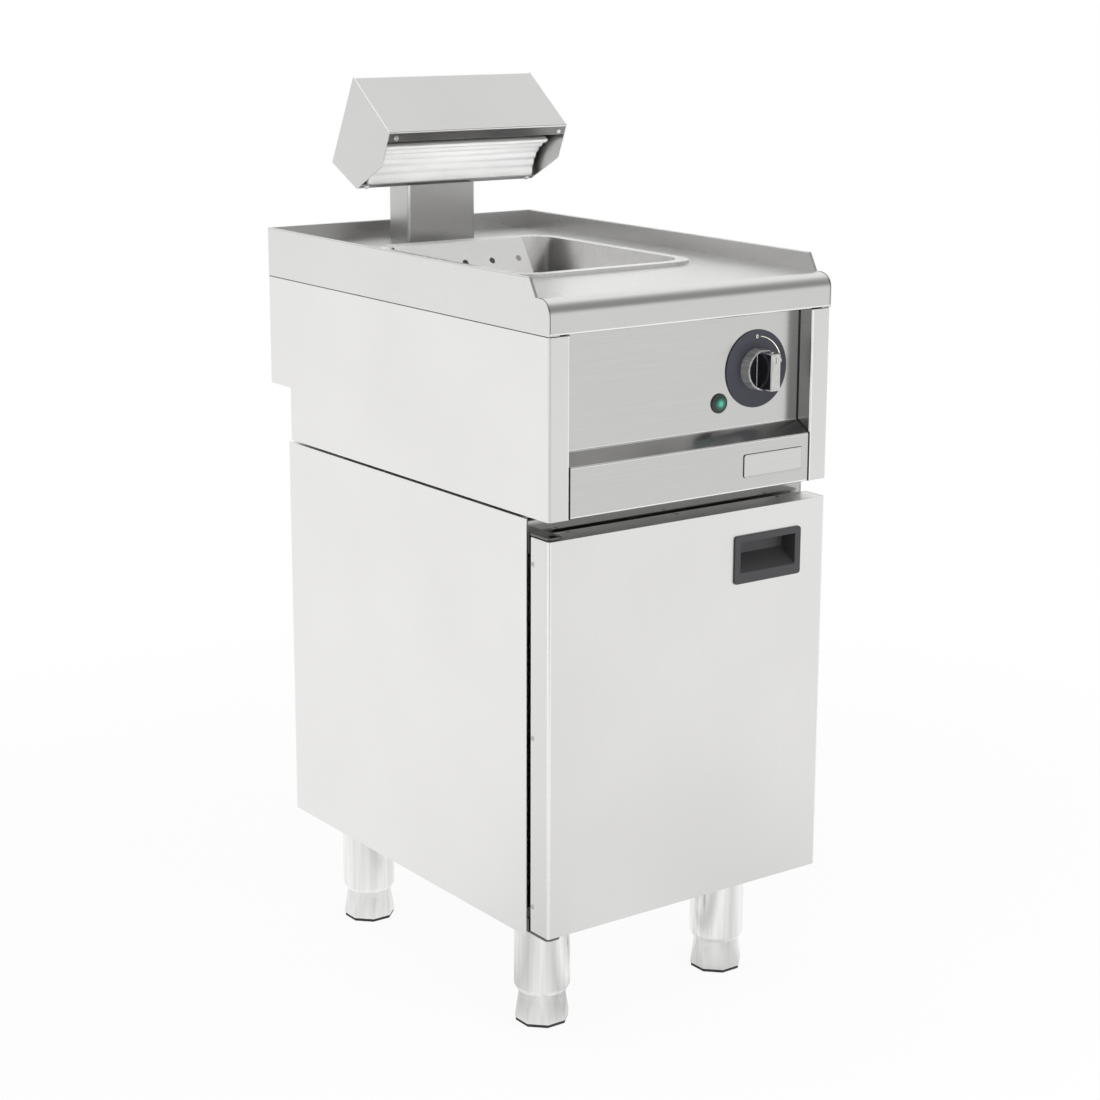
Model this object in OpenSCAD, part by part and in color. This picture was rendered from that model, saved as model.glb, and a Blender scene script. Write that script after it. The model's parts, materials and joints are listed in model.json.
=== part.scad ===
// Freestanding heated chip scuttle.
// A worktop with a drained pan stands under a ceramic heat lamp on a column.
// The upper body holds the controls, and a cabinet with one door carries it on four legs.
// X runs to the right seen from the front, Y to the back, Z up, and the floor is at zero.

/* [Overall] */
// Width of the worktop and the cabinet
width = 400; // [380:5:460]
// Depth of the worktop, front to back
depth = 600; // [590:5:660]
// Height of the worktop surface above the floor
worktop_height = 871; // [840:1:920]
// Thickness of the worktop sheet
worktop_t = 1.5; // [1.2:0.1:2]
// Thickness of the body and cabinet sheets
panel_t = 1.2; // [1:0.1:1.5]
// Outer radius of a small folded bend
bend_r = 2.4; // [2.2:0.1:3]

/* [Worktop] */
// Height of the skirt below the worktop surface
skirt_h = 39; // [36:1:48]
// Height of the upstand above the worktop surface
upstand_h = 21; // [14:1:30]
// Thickness of the hemmed upstand
hem_t = 3.4; // [3:0.2:5]
// Radius of the rounded front nose
nose_r = 17; // [8:1:20]
// Where the upstand's sloped front end starts behind the front
upstand_setback = 25; // [20:1:40]
// How far the upstand's front end leans back
upstand_slant = 12; // [6:1:24]
// Depth of the fold under the skirt's side
skirt_return = 14; // [8:1:20]

/* [Pan] */
// Width of the pan over its rim, side to side
pan_w = 265; // [240:5:290]
// Length of the pan over its rim, front to back
pan_l = 325; // [300:5:340]
// Depth of the pan below its rim
pan_depth = 150; // [100:5:180]
// Width of the pan's rim
pan_rim = 12.5; // [11:0.5:16]
// Height of the rim above the worktop
pan_lip = 4; // [2:0.5:5]
// Thickness of the pan's wall
pan_t = 1; // [0.8:0.1:1.5]
// Distance from the worktop's front to the pan's rim
pan_setback = 152; // [146:1:160]
// How far the pan's walls draw in towards the floor
pan_draft = 9; // [4:1:14]
// Corner radius of the pan's walls
pan_corner = 34; // [26:1:44]
// Gap between the pan's wall and the worktop's cut-out
pan_gap = 2.5; // [1.5:0.5:4]

/* [Drain plate] */
// Width of the perforated plate
plate_w = 190; // [160:2:190]
// Slope of the plate's back from the horizontal
plate_slope = 58; // [50:1:68]
// Height of the plate's floor over the pan's floor
plate_lift = 22; // [16:1:35]
// Diameter of a drain hole
drain_d = 8; // [5:0.5:12]
// Distance between drain holes
drain_pitch = 40; // [30:2:50]

/* [Upper body] */
// Height of the upper body below the skirt
body_h = 202; // [190:2:220]
// Width of the corner post's front face
post_face = 28; // [22:1:34]
// Rounding of the corner post's outer edge
post_r = 4; // [3:0.5:6]
// Depth of the post's inner wall
post_return = 34; // [32:1:44]
// Gap between the skirt and the side panels below it
seam = 1; // [0.6:0.1:1.5]
// Height of the step at the back
step_h = 66; // [50:2:80]
// Depth of the step at the back
step_d = 48; // [40:2:60]
// Distance of the control panel behind the front
panel_setback = 22; // [18:1:28]
// Height of the front rail
rail_h = 57; // [50:1:64]
// Drop of the sloped ledge between the panel and the rail
ledge_drop = 13; // [8:1:20]
// Gap between the fascia and each corner post
fascia_gap = 0.8; // [0.4:0.1:1.5]

/* [Controls] */
// Diameter of the dial disc
dial_d = 90; // [76:2:92]
// Thickness of the dial disc
dial_t = 1.5; // [1:0.1:2]
// Distance of the dial's centre from the middle
dial_x = 107; // [95:1:115]
// Height of the dial's centre above the body's bottom
dial_rise = 136; // [130:1:145]
// Diameter of the knob's skirt
knob_d = 49; // [42:1:54]
// Width of the knob's grip bar
grip_w = 16; // [12:1:20]
// Reach of the knob in front of the control panel
knob_reach = 35; // [32:1:40]
// Diameter of the control spindle
spindle_d = 6; // [5:0.5:7]
// Distance of the pilot lamp from the middle
lamp_x = 53; // [20:1:54]
// Height of the pilot lamp above the body's bottom
lamp_rise = 101; // [96:1:110]
// Diameter of the pilot lamp's bezel
bezel_d = 23; // [20:0.5:26]
// Width of the badge plate
badge_w = 88; // [60:2:100]
// Height of the badge plate
badge_h = 27; // [20:1:34]

/* [Heat lamp] */
// Width of the lamp hood
hood_w = 263; // [256:1:290]
// Height of the hood's lowest corner above the worktop
hood_rise = 73; // [68:1:110]
// Width of the column
column_w = 100; // [80:2:120]
// Depth of the column
column_d = 46; // [40:1:46]
// Distance from the worktop's front to the column
column_setback = 510; // [508:1:516]
// Thickness of the column's wall
column_t = 1.5; // [1.2:0.1:2]
// Length of the ceramic emitter
emitter_l = 245; // [225:5:248]
// Width of the ceramic emitter
emitter_w = 59; // [54:1:62]
// Hollow of the emitter's ribbed face
emitter_sag = 9; // [4:0.5:11]
// Tilt of the emitter out of the hood's mouth
emitter_tilt = 9; // [4:1:12]
// Number of ribs on the emitter's face
emitter_ribs = 6; // [4:1:8]

/* [Cabinet] */
// Height of the cabinet
cabinet_h = 486; // [440:2:520]
// Gap between the cabinet's sides and the body
cabinet_gap = 3; // [2:0.5:5]
// Distance of the cabinet's front edge behind the front
cabinet_setback = 42; // [41:0.5:46]
// Distance of the cabinet's back ahead of the worktop's back
cabinet_inset = 42; // [36:1:46]
// Width of a corner plate at the cabinet's lower front
corner_w = 34; // [30:1:44]
// Height of the lintel across the cabinet's front
lintel_h = 39; // [34:1:46]

/* [Door] */
// Thickness of the door
door_t = 35; // [32:1:36]
// Gap between the door's side and the cabinet's side
door_side_gap = 0.5; // [0.5:0.1:2]
// Distance of the door's top below the cabinet's top
door_drop = 18.5; // [16:0.5:24]
// Distance of the door's bottom above the cabinet's bottom
door_lift = 9.5; // [8:0.5:14]
// Rounding of the door's upright edges
door_r = 3; // [2.4:0.2:5]
// Distance of the hinge pin from the door's side
pin_x = 13; // [12:0.5:15]
// Distance of the hinge pin behind the door's front
pin_y = 11; // [10:0.5:13]
// Diameter of a hinge pin
pin_d = 8; // [6:0.5:9]
// Width of the handle's bezel
handle_w = 100; // [80:2:110]
// Height of the handle's bezel
handle_h = 57; // [48:1:64]
// Distance of the handle from the door's right side
handle_x = 38; // [30:1:60]
// Distance of the handle below the door's top
handle_z = 30; // [24:1:60]
// Depth of the handle's cup
cup_depth = 24; // [18:1:26]

/* [Legs] */
// Outer diameter of a leg tube
leg_d = 66; // [60:1:70]
// Wall of a leg tube
leg_wall = 4.5; // [3:0.5:5]
// Distance of the legs from the cabinet's side
leg_x = 67; // [56:1:90]
// Distance of the front legs from the worktop's front
leg_front = 104; // [84:1:130]
// Distance of the back legs from the worktop's front
leg_back = 492; // [460:1:505]
// Height of the leg tube's lower end above the floor
foot_h = 39; // [36:1:50]
// Thickness of the rubber pad
pad_t = 4; // [3:0.5:6]

/* [Hidden] */

$fn = 64;
fine = 0.3;
running = 0.08;
front = -(depth - knob_reach + panel_setback) / 2;
half = width / 2;

// Heights
top_z = worktop_height;
upstand_z = top_z + upstand_h;
skirt_z = top_z - skirt_h;
body_z = skirt_z - body_h;
cabinet_z1 = body_z - cabinet_gap;
cabinet_z0 = cabinet_z1 - cabinet_h;
ledge_z = body_z + rail_h;
panel_z = ledge_z + ledge_drop;
rail_z = cabinet_z1 - panel_t;
lintel_z0 = rail_z - lintel_h;
door_z1 = cabinet_z1 - door_drop;
door_z0 = cabinet_z0 + door_lift;
rim_z = top_z + pan_lip;
leg_z = foot_h;

// Places
pan_y = pan_setback + pan_l / 2;
body_back = depth - step_d;
cabinet_back_y = depth - cabinet_inset;
dial_z = body_z + dial_rise;
lamp_z = body_z + lamp_rise;
lamp_hole = 13;
door_half = half - door_side_gap;
pin_side = -door_half + pin_x;

// Colours
steel = [0.80, 0.80, 0.79];
bright = [0.88, 0.88, 0.87];
dark = [0.42, 0.42, 0.41];
black = [0.12, 0.12, 0.13];
ceramic = [0.95, 0.94, 0.92];

// Paths of folded sheets
function unit(v) = v / norm(v);
function left(v) = [-v[1], v[0]];
function turned(v, a) = [v[0] * cos(a) - v[1] * sin(a), v[0] * sin(a) + v[1] * cos(a)];
function cross2(a, b) = a[0] * b[1] - a[1] * b[0];
function turn(a, b) = atan2(cross2(a, b), a * b);
function corner_arc(before, at, after, r, n) =
  let (a = unit(at - before), b = unit(after - at), t = turn(a, b),
       start = at - a * r * abs(tan(t / 2)), centre = start + left(a) * r * sign(t))
  [for (k = [0:n]) centre + turned(start - centre, t * k / n)];
function bent(p, radii, n = 4) = [
  for (i = [0:len(p) - 1])
    let (r = radii[i])
    for (q = (r == 0) ? [p[i]] : corner_arc(p[i - 1], p[i], p[i + 1], r, n)) q];
function shifted(p, i, t) =
  (i == 0) ? p[0] + left(unit(p[1] - p[0])) * t
  : (i == len(p) - 1) ? p[i] + left(unit(p[i] - p[i - 1])) * t
  : let (a = left(unit(p[i] - p[i - 1])), b = left(unit(p[i + 1] - p[i])))
    p[i] + (a + b) * t / (1 + a * b);
function strip(p, t) = concat(p, [for (i = [len(p) - 1:-1:0]) shifted(p, i, t)]);
function loop_shifted(p, t) = [for (i = [0:len(p) - 1])
  let (n = len(p), a = left(unit(p[i] - p[(i + n - 1) % n])),
       b = left(unit(p[(i + 1) % n] - p[i])))
  p[i] + (a + b) * t / (1 + a * b)];

// A profile drawn as depth and height, run across the width
module across(w, x = 0) {
  translate([x - w / 2, front, 0])
    rotate([90, 0, 90])
      linear_extrude(w) children();
}

// A profile drawn as x and depth, run upwards
module upright(z0, z1) {
  translate([0, front, z0]) linear_extrude(z1 - z0) children();
}

module block(x0, x1, d0, d1, z0, z1) {
  translate([x0, front + d0, z0]) cube([x1 - x0, d1 - d0, z1 - z0]);
}

// A round bar along the depth, from d0 back to d1
module bar_back(x, d0, d1, z, d) {
  translate([x, front + d0, z]) rotate([-90, 0, 0]) cylinder(d = d, h = d1 - d0);
}

module both_sides() {
  children();
  mirror([1, 0, 0]) children();
}

module rounded_rect(w, h, r) {
  square([w - 2 * r, h], center = true);
  square([w, h - 2 * r], center = true);
  for (x = [-1, 1]) for (y = [-1, 1])
    translate([x * (w / 2 - r), y * (h / 2 - r)]) circle(r);
}

// A plate in the XZ plane with rounded corners, from depth d0 back to d1
module plate_back(x, d0, d1, z, w, h, r) {
  translate([x, front + d1, z]) rotate([90, 0, 0])
    linear_extrude(d1 - d0) rounded_rect(w, h, r);
}

// Worktop
nose_n = 8;
front_return = panel_setback + 12;
hem_r = hem_t / 2;
wire_hole = 22;
function nose() = bent([[depth, top_z], [0, top_z], [0, skirt_z], [front_return, skirt_z]],
  [0, nose_r, bend_r, 0], nose_n);
function side_outline() = concat(
  [[depth, upstand_z], [upstand_setback + upstand_slant, upstand_z], [upstand_setback, top_z]],
  corner_arc([depth, top_z], [0, top_z], [0, skirt_z], nose_r, nose_n),
  [[0, skirt_z], [depth, skirt_z]]);

// One folded edge of the worktop: skirt, hemmed upstand and the fold underneath
module edge_profile() {
  translate([0, skirt_z]) square([worktop_t, upstand_z - hem_r - skirt_z]);
  translate([0, top_z - worktop_t])
    square([hem_t, upstand_z - hem_r - top_z + worktop_t]);
  translate([hem_r, upstand_z - hem_r]) circle(hem_r);
  translate([0, skirt_z]) square([skirt_return, worktop_t]);
}

module side_edge() {
  intersection() {
    translate([-half, front + depth, 0]) rotate([90, 0, 0])
      linear_extrude(depth) edge_profile();
    across(2 * width) polygon(side_outline());
  }
}

module rear_edge() {
  translate([half, front + depth, 0]) rotate([90, 0, -90])
    linear_extrude(width) edge_profile();
}

column_screw_d = 5;
module at_column_screws(z) {
  for (x = [-1, 1]) for (y = [-1, 1])
    translate([x * (column_w / 2 - 12), front + column_setback + column_d / 2
      + y * (column_d / 2 - 10), z]) children();
}

module worktop() color(steel) {
  difference() {
    union() {
      across(width) polygon(strip(nose(), worktop_t));
      both_sides() side_edge();
      rear_edge();
    }
    translate([0, front + pan_y, top_z - 5]) linear_extrude(10)
      rounded_rect(pan_w - 2 * pan_rim + 2 * pan_gap,
        pan_l - 2 * pan_rim + 2 * pan_gap, pan_corner + pan_gap);
    translate([0, front + column_setback + column_d / 2, top_z - 5])
      cylinder(d = wire_hole, h = 10);
    at_column_screws(top_z - 5) cylinder(d = column_screw_d + 0.4, h = 10);
  }
}

// Pan with a turned-down rim, drawn-in walls and a rounded floor
floor_r = 12;
module pan_slice(grow, draw, z) {
  translate([0, front + pan_y, z]) linear_extrude(0.01)
    rounded_rect(pan_w - 2 * pan_rim + 2 * grow - 2 * draw,
      pan_l - 2 * pan_rim + 2 * grow - 2 * draw, pan_corner + grow - draw / 2, $fn = 32);
}

module pan_body(grow, floor_z) {
  hull() {
    pan_slice(grow, 0, rim_z - 0.01);
    pan_slice(grow, pan_draft, floor_z + floor_r);
    pan_slice(grow, pan_draft + floor_r * 0.3, floor_z + floor_r * 0.3);
    pan_slice(grow, pan_draft + floor_r, floor_z);
  }
}

module pan() color(bright) {
  rim_r = 18;
  difference() {
    union() {
      translate([0, front + pan_y, top_z]) linear_extrude(pan_lip)
        rounded_rect(pan_w, pan_l, rim_r);
      pan_body(0, rim_z - pan_depth);
    }
    difference() {
      translate([0, front + pan_y, top_z - 1]) linear_extrude(pan_lip + 1 - pan_t)
        rounded_rect(pan_w - 2 * pan_t, pan_l - 2 * pan_t, rim_r - pan_t);
      pan_body(0.01, rim_z - pan_depth - 1);
    }
    pan_body(-pan_t, rim_z - pan_depth + pan_t);
    translate([0, 0, pan_t]) pan_slice(-pan_t, 0, rim_z - 1.01);
  }
}

// Perforated plate that hooks over the pan's back rim and slopes down into it
plate_t = 1.2;
plate_floor_z = rim_z - pan_depth + pan_t + plate_lift;
plate_gap = 2;
low_half = pan_w / 2 - pan_rim - pan_t - pan_draft;
low_r = pan_corner - pan_draft / 2 - pan_t;
plate_x = plate_w / 2 + plate_gap - low_half;
plate_side = plate_w / 2 + abs(plate_x);
in_corner = max(0, plate_side - pan_w / 2 + pan_rim + pan_corner);
in_front = max(0, plate_side - low_half + low_r);
front_in = low_r - sqrt(pow(low_r, 2) - pow(in_front, 2));
corner_in = pan_corner - pan_t - sqrt(pow(pan_corner - pan_t, 2) - pow(in_corner, 2));
plate_top_y = pan_setback + pan_l - pan_rim - pan_t - plate_gap - corner_in;
plate_drop = rim_z - plate_floor_z;
plate_bend_y = plate_top_y - plate_drop / tan(plate_slope);
plate_front_y = pan_setback + pan_rim + pan_t + pan_draft + max(floor_r, front_in) + plate_gap;
hook_l = pan_rim + plate_gap + corner_in;
slope_l = plate_drop / sin(plate_slope);
slope_rows = floor((slope_l - 24) / drain_pitch);
floor_rows = floor((plate_bend_y - plate_front_y - 16) / drain_pitch);
columns = floor((plate_w - 30) / drain_pitch / 2);

module drain_plate() color(bright) {
  path = bent([[plate_front_y, plate_floor_z - plate_lift + fine],
    [plate_front_y, plate_floor_z], [plate_bend_y, plate_floor_z],
    [plate_top_y, rim_z], [plate_top_y + hook_l, rim_z]], [0, bend_r, 6, bend_r, 0]);
  foot_half = pan_w / 2 - pan_rim - pan_t - pan_draft - floor_r - pan_corner / 2;
  difference() {
    across(plate_w, plate_x) polygon(strip(path, plate_t));
    both_sides() block(-plate_w, -foot_half, plate_front_y - 5, plate_front_y + 5,
      plate_floor_z - plate_lift - 1, plate_floor_z - 4);
    for (c = [-columns:columns]) {
      for (k = [0:slope_rows - 1])
        translate([plate_x + c * drain_pitch, front + plate_top_y, rim_z])
          rotate([plate_slope, 0, 0])
            translate([0, -28 - k * drain_pitch, -3]) cylinder(d = drain_d, h = 8, $fn = 24);
      for (k = [0:floor_rows - 1])
        translate([plate_x + c * drain_pitch, front + plate_bend_y - 20 - k * drain_pitch,
          plate_floor_z - 3]) cylinder(d = drain_d, h = 8, $fn = 24);
    }
  }
}

// Upper body
flange = 16;
joggle_h = 12;
module side_panel() {
  path = bent([[-half, depth], [-half, 0], [-half + post_face, 0],
    [-half + post_face, post_return]], [0, post_r, bend_r, 0]);
  difference() {
    union() {
      upright(body_z, skirt_z - seam) polygon(strip(path, panel_t));
      block(-half, -half + flange, post_return, body_back, body_z, body_z + panel_t);
      block(-half + panel_t, -half + 2 * panel_t, post_return, depth - 20,
        skirt_z - joggle_h, skirt_z);
      block(-half + panel_t, -half + skirt_return, post_return, depth - 20,
        skirt_z - panel_t, skirt_z);
    }
    block(-half - 1, -half + flange + 1, body_back, depth + 1, body_z - 1, body_z + step_h);
    block(-half + panel_t, -half + flange + 1, body_back - panel_t, depth, body_z - 1,
      body_z + 2 * panel_t);
  }
}

module left_side_panel() color(steel) side_panel();
module right_side_panel() color(steel) mirror([1, 0, 0]) side_panel();

gland_x = 60 - half;
gland_hole = 20;
gland_back = 56;
vent_w = 60;
vent_h = 4;
module rear_panel() color(steel) {
  path = bent([[depth - 14, skirt_z], [depth, skirt_z], [depth, body_z + step_h],
    [body_back, body_z + step_h], [body_back, body_z]], [0, bend_r, bend_r, bend_r, 0]);
  difference() {
    across(width - 2 * panel_t) polygon(strip(path, -panel_t));
    bar_back(gland_x, body_back - 5, body_back + 5, body_z + step_h / 2, gland_hole);
    for (x = [-1, 0, 1]) for (k = [0:3])
      plate_back(x * 90, depth - 5, depth + 5, body_z + step_h + 40 + k * 14,
        vent_w, vent_h, vent_h / 2 - 0.01);
  }
}

module base_panel() color(dark) {
  x = half - post_face - fascia_gap - fine;
  block(-half + panel_t, half - panel_t, post_return + fine, body_back - panel_t,
    body_z + panel_t, body_z + 2 * panel_t);
  block(-x, x, panel_setback - 8, post_return + fine, body_z + panel_t,
    body_z + 2 * panel_t);
}

fascia_w = width - 2 * (post_face + fascia_gap);
module fascia() color(steel) {
  path = bent([[panel_setback + 12, skirt_z], [panel_setback, skirt_z],
    [panel_setback, panel_z], [0, ledge_z], [0, body_z], [panel_setback, body_z]],
    [0, bend_r, bend_r, bend_r, bend_r, 0]);
  difference() {
    union() {
      across(fascia_w) polygon(strip(path, panel_t));
      both_sides() block(-fascia_w / 2, -fascia_w / 2 + panel_t, panel_setback + panel_t / 2,
        post_return, panel_z + 4, skirt_z - 4);
    }
    bar_back(dial_x, 0, panel_setback + 8, dial_z, 10.4);
    bar_back(lamp_x, 0, panel_setback + 8, lamp_z, lamp_hole);
  }
}

badge_t = 1.6;
badge_gap = 10;
badge_x = fascia_w / 2 - badge_gap - badge_w / 2;
module badge_plate() color(bright)
  plate_back(badge_x, -badge_t, 0, body_z + rail_h / 2 + 0.5, badge_w, badge_h, 3);

// Controls
module dial_disc() color([0.16, 0.17, 0.20]) difference() {
  bar_back(dial_x, panel_setback - dial_t, panel_setback, dial_z, dial_d);
  bar_back(dial_x, 0, panel_setback + 1, dial_z, 10.4);
}

knob_skirt = 7;
knob_body = 13;
module knob() color([0.62, 0.63, 0.66]) {
  back = panel_setback - dial_t - fine;
  face = panel_setback - knob_reach;
  r = knob_d / 2;
  length = back - face;
  translate([dial_x, front + back, dial_z]) rotate([90, 0, 0]) difference() {
    union() {
      rotate_extrude() polygon([[0, 0], [r, 0], [r, 3], [r - 1.5, knob_skirt],
        [r - 2.5, knob_body], [0, knob_body]]);
      intersection() {
        rotate_extrude() polygon([[0, 0], [r - 1, 0], [r - 2, length - 3],
          [r - 3.5, length - 0.8], [r - 8, length], [0, length]]);
        translate([-grip_w / 2, -knob_d, 0]) cube([grip_w, 2 * knob_d, length + 1]);
      }
    }
    translate([0, 0, -1]) cylinder(d = spindle_d, h = 19);
    rotate_extrude() polygon([[0, -1], [r - 4, -1], [r - 4, 2], [8, 4], [8, 5], [0, 5]]);
  }
}

module spindle() color(steel)
  bar_back(dial_x, panel_setback - dial_t - fine - 17.5, panel_setback + 28, dial_z, spindle_d);

regulator_w = 46;
module regulator() color([0.75, 0.73, 0.68]) difference() {
  union() {
    bar_back(dial_x, panel_setback - dial_t - 2, panel_setback + panel_t + 1, dial_z, 10);
    bar_back(dial_x, panel_setback - dial_t - 2, panel_setback - dial_t, dial_z, 14);
    bar_back(dial_x, panel_setback + panel_t, panel_setback + panel_t + 3, dial_z, 20);
    block(dial_x - regulator_w / 2, dial_x + regulator_w / 2, panel_setback + panel_t + 3,
      panel_setback + panel_t + 32, dial_z - regulator_w / 2, dial_z + regulator_w / 2);
  }
  bar_back(dial_x, 0, panel_setback + 29, dial_z, spindle_d + 2 * running);
}

bezel_t = 2.5;
lens_d = bezel_d - 5.4;
module pilot_bezel() color(black)
  translate([lamp_x, front + panel_setback, lamp_z]) rotate([90, 0, 0])
    rotate_extrude() polygon([[lens_d / 2, 0], [bezel_d / 2, 0], [bezel_d / 2, 1.2],
      [bezel_d / 2 - 1, bezel_t], [lens_d / 2, bezel_t]]);

module pilot_lens() color([0.10, 0.55, 0.38])
  translate([lamp_x, front + panel_setback, lamp_z]) rotate([90, 0, 0])
    rotate_extrude() polygon([[0, 0], [lens_d / 2, 0], [lens_d / 2, bezel_t],
      [lens_d / 2 - 1, bezel_t + 0.8], [lens_d / 4, bezel_t + 1.5], [0, bezel_t + 1.7]]);

module pilot_lamp() color([0.85, 0.85, 0.80]) {
  bar_back(lamp_x, panel_setback, panel_setback + 26, lamp_z, lamp_hole - 1);
  bar_back(lamp_x, panel_setback + panel_t, panel_setback + panel_t + 4, lamp_z, lamp_hole + 4);
  for (z = [-3, 3])
    block(lamp_x - 2.5, lamp_x + 2.5, panel_setback + 25, panel_setback + 34,
      lamp_z + z - 0.4, lamp_z + z + 0.4);
}

// Mains terminals on the base panel and the gland in the step at the back
terminal_w = 50;
terminal_d = 24;
terminal_h = 20;
terminal_hole = 6;
module terminal_block() color([0.90, 0.90, 0.86]) {
  base = body_z + 2 * panel_t;
  middle = body_back - gland_back - terminal_d / 2;
  difference() {
    block(gland_x - terminal_w / 2, gland_x + terminal_w / 2, middle - terminal_d / 2,
      middle + terminal_d / 2, base, base + terminal_h);
    for (k = [-1:1])
      translate([gland_x + k * 0.3 * terminal_w, front + middle, base + 0.4 * terminal_h])
        cylinder(d = terminal_hole, h = terminal_h);
  }
}

gland_bore = 11;
module cable_gland() color(black)
  translate([gland_x, front + body_back, body_z + step_h / 2]) rotate([-90, 0, 0])
    difference() {
      union() {
        cylinder(d = 28, h = 5, $fn = 6);
        translate([0, 0, 5]) cylinder(d1 = 25, d2 = 18, h = 17);
        translate([0, 0, -14]) cylinder(d = gland_hole - 0.6, h = 14.5);
        translate([0, 0, -9]) cylinder(d = 28, h = 9 - panel_t, $fn = 6);
      }
      translate([0, 0, -15]) cylinder(d = gland_bore, h = 40);
    }

// Lamp hood section, as depth and height from its lowest corner
hood_peak = [4, 135];
hood_brow = [-77, 73];
hood_cheek = [-59, 31];
hood_heel = [57, 28];
hood_base = [column_setback - 10, top_z + hood_rise];
hood_t = panel_t;
brow_lip = 13;
base_lip = 10;
brow_p = hood_base + hood_brow;
mouth = -hood_brow;
mouth_l = norm(mouth);
mouth_a = atan2(mouth[1], mouth[0]);
// The mouth's own frame has u along the opening and v into the hood
function in_mouth(p) = turned(p - hood_brow, -mouth_a);
cheek_m = in_mouth(hood_cheek);
base_m = [mouth_l, 0];
brow_dir = unit(cheek_m);
base_dir = unit(cheek_m - base_m);

module mouth_run(w, x = 0) {
  translate([x - w / 2, front + brow_p[0], brow_p[1]]) rotate([mouth_a, 0, 0])
    rotate([90, 0, 90]) linear_extrude(w) children();
}

column_x = 0;
heel_a = atan2(hood_heel[1], hood_heel[0]);
module under_heel(drop) {
  across(2 * width) polygon([hood_base - unit(hood_heel) * half + [0, -drop],
    hood_base + unit(hood_heel) * half + [0, -drop],
    [hood_base[0] + half, 0], [hood_base[0] - half, 0]]);
}

module column_prism(inset) {
  translate([column_x, front + column_setback + column_d / 2, top_z])
    linear_extrude(2 * hood_rise)
      rounded_rect(column_w - 2 * inset, column_d - 2 * inset, 3.5 - inset);
}

module wire_way(d) {
  along = (column_setback + column_d / 2 - hood_base[0]) / cos(heel_a);
  translate([column_x, front + hood_base[0], hood_base[1]]) rotate([heel_a, 0, 0])
    translate([0, along, -8]) cylinder(d = d, h = 16);
}

module column() color(steel) difference() {
  intersection() {
    column_prism(0);
    under_heel(0);
  }
  intersection() {
    translate([0, 0, column_t]) column_prism(column_t);
    under_heel(column_t / cos(heel_a));
  }
  translate([column_x, front + column_setback + column_d / 2, top_z - 1])
    cylinder(d = wire_hole, h = 5);
  at_column_screws(top_z - 1) cylinder(d = column_screw_d + 0.4, h = 5);
  wire_way(wire_hole);
}

// Screws through the worktop into nuts in the column's foot
module column_screws() color(bright) {
  at_column_screws(top_z - worktop_t - 3) cylinder(d = 9, h = 3);
  at_column_screws(top_z - worktop_t - 1) cylinder(d = column_screw_d, h = column_t + 8);
  at_column_screws(top_z + column_t) cylinder(d = 9, h = 4, $fn = 6);
}

shell_w = hood_w - 2 * hood_t;
function hood_path() = bent([
  hood_base + hood_brow + unit(hood_cheek - hood_brow) * brow_lip,
  hood_base + hood_brow, hood_base + hood_peak, hood_base + hood_heel, hood_base,
  hood_base + unit(hood_cheek) * base_lip], [0, bend_r, bend_r, bend_r, bend_r, 0]);

module hood_shell() color(steel) difference() {
  across(shell_w) polygon(strip(hood_path(), -hood_t));
  wire_way(wire_hole);
}

end_flange = 12;
flange_gap = 0.1;
function hood_outline() = [for (p = [hood_brow, hood_peak, hood_heel, [0, 0], hood_cheek])
  hood_base + p];
module hood_end() {
  across(hood_t, -hood_w / 2 + hood_t / 2) polygon(hood_outline());
  across(end_flange, -hood_w / 2 + hood_t + end_flange / 2)
    polygon(strip(flange_path(), -hood_t));
}
function flange_path() = let (p = loop_shifted(hood_outline(), -hood_t - flange_gap))
  bent([p[0] + unit(p[1] - p[0]) * 10, p[1], p[2] + unit(p[1] - p[2]) * 10],
    [0, bend_r, 0]);

module hood_left_end() color(bright) hood_end();
module hood_right_end() color(bright) mirror([1, 0, 0]) hood_end();

// Reflector between the two lips, with a slot for the emitter's neck
trough_v = 30;
neck_l = 32;
neck_w = 15;
reflector_t = 0.8;
reflector_v = trough_v + 8;
emitter_t = 8;
emitter_tip = base_m + base_dir * (base_lip + 3);
emitter_dir = [cos(emitter_tilt), -sin(emitter_tilt)];
emitter_mid = emitter_tip - emitter_dir * emitter_w / 2;
neck_u = emitter_mid[0];

module reflector() color(bright) {
  brow_in = left(brow_dir) * (hood_t + 0.05);
  base_in = -left(base_dir) * (hood_t + 0.05);
  path = bent([brow_dir * brow_lip + brow_in, brow_dir * 5 + brow_in,
    [22, reflector_v], [mouth_l - 30, reflector_v],
    base_m + base_dir * 3 + base_in, base_m + base_dir * base_lip + base_in],
    [0, bend_r, 6, 6, bend_r, 0]);
  difference() {
    mouth_run(shell_w - 2) polygon(strip(path, -reflector_t));
    mouth_run(neck_l + 2) translate([neck_u - neck_w / 2 - 1, trough_v])
      square([neck_w + 2, 20]);
  }
}

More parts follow.
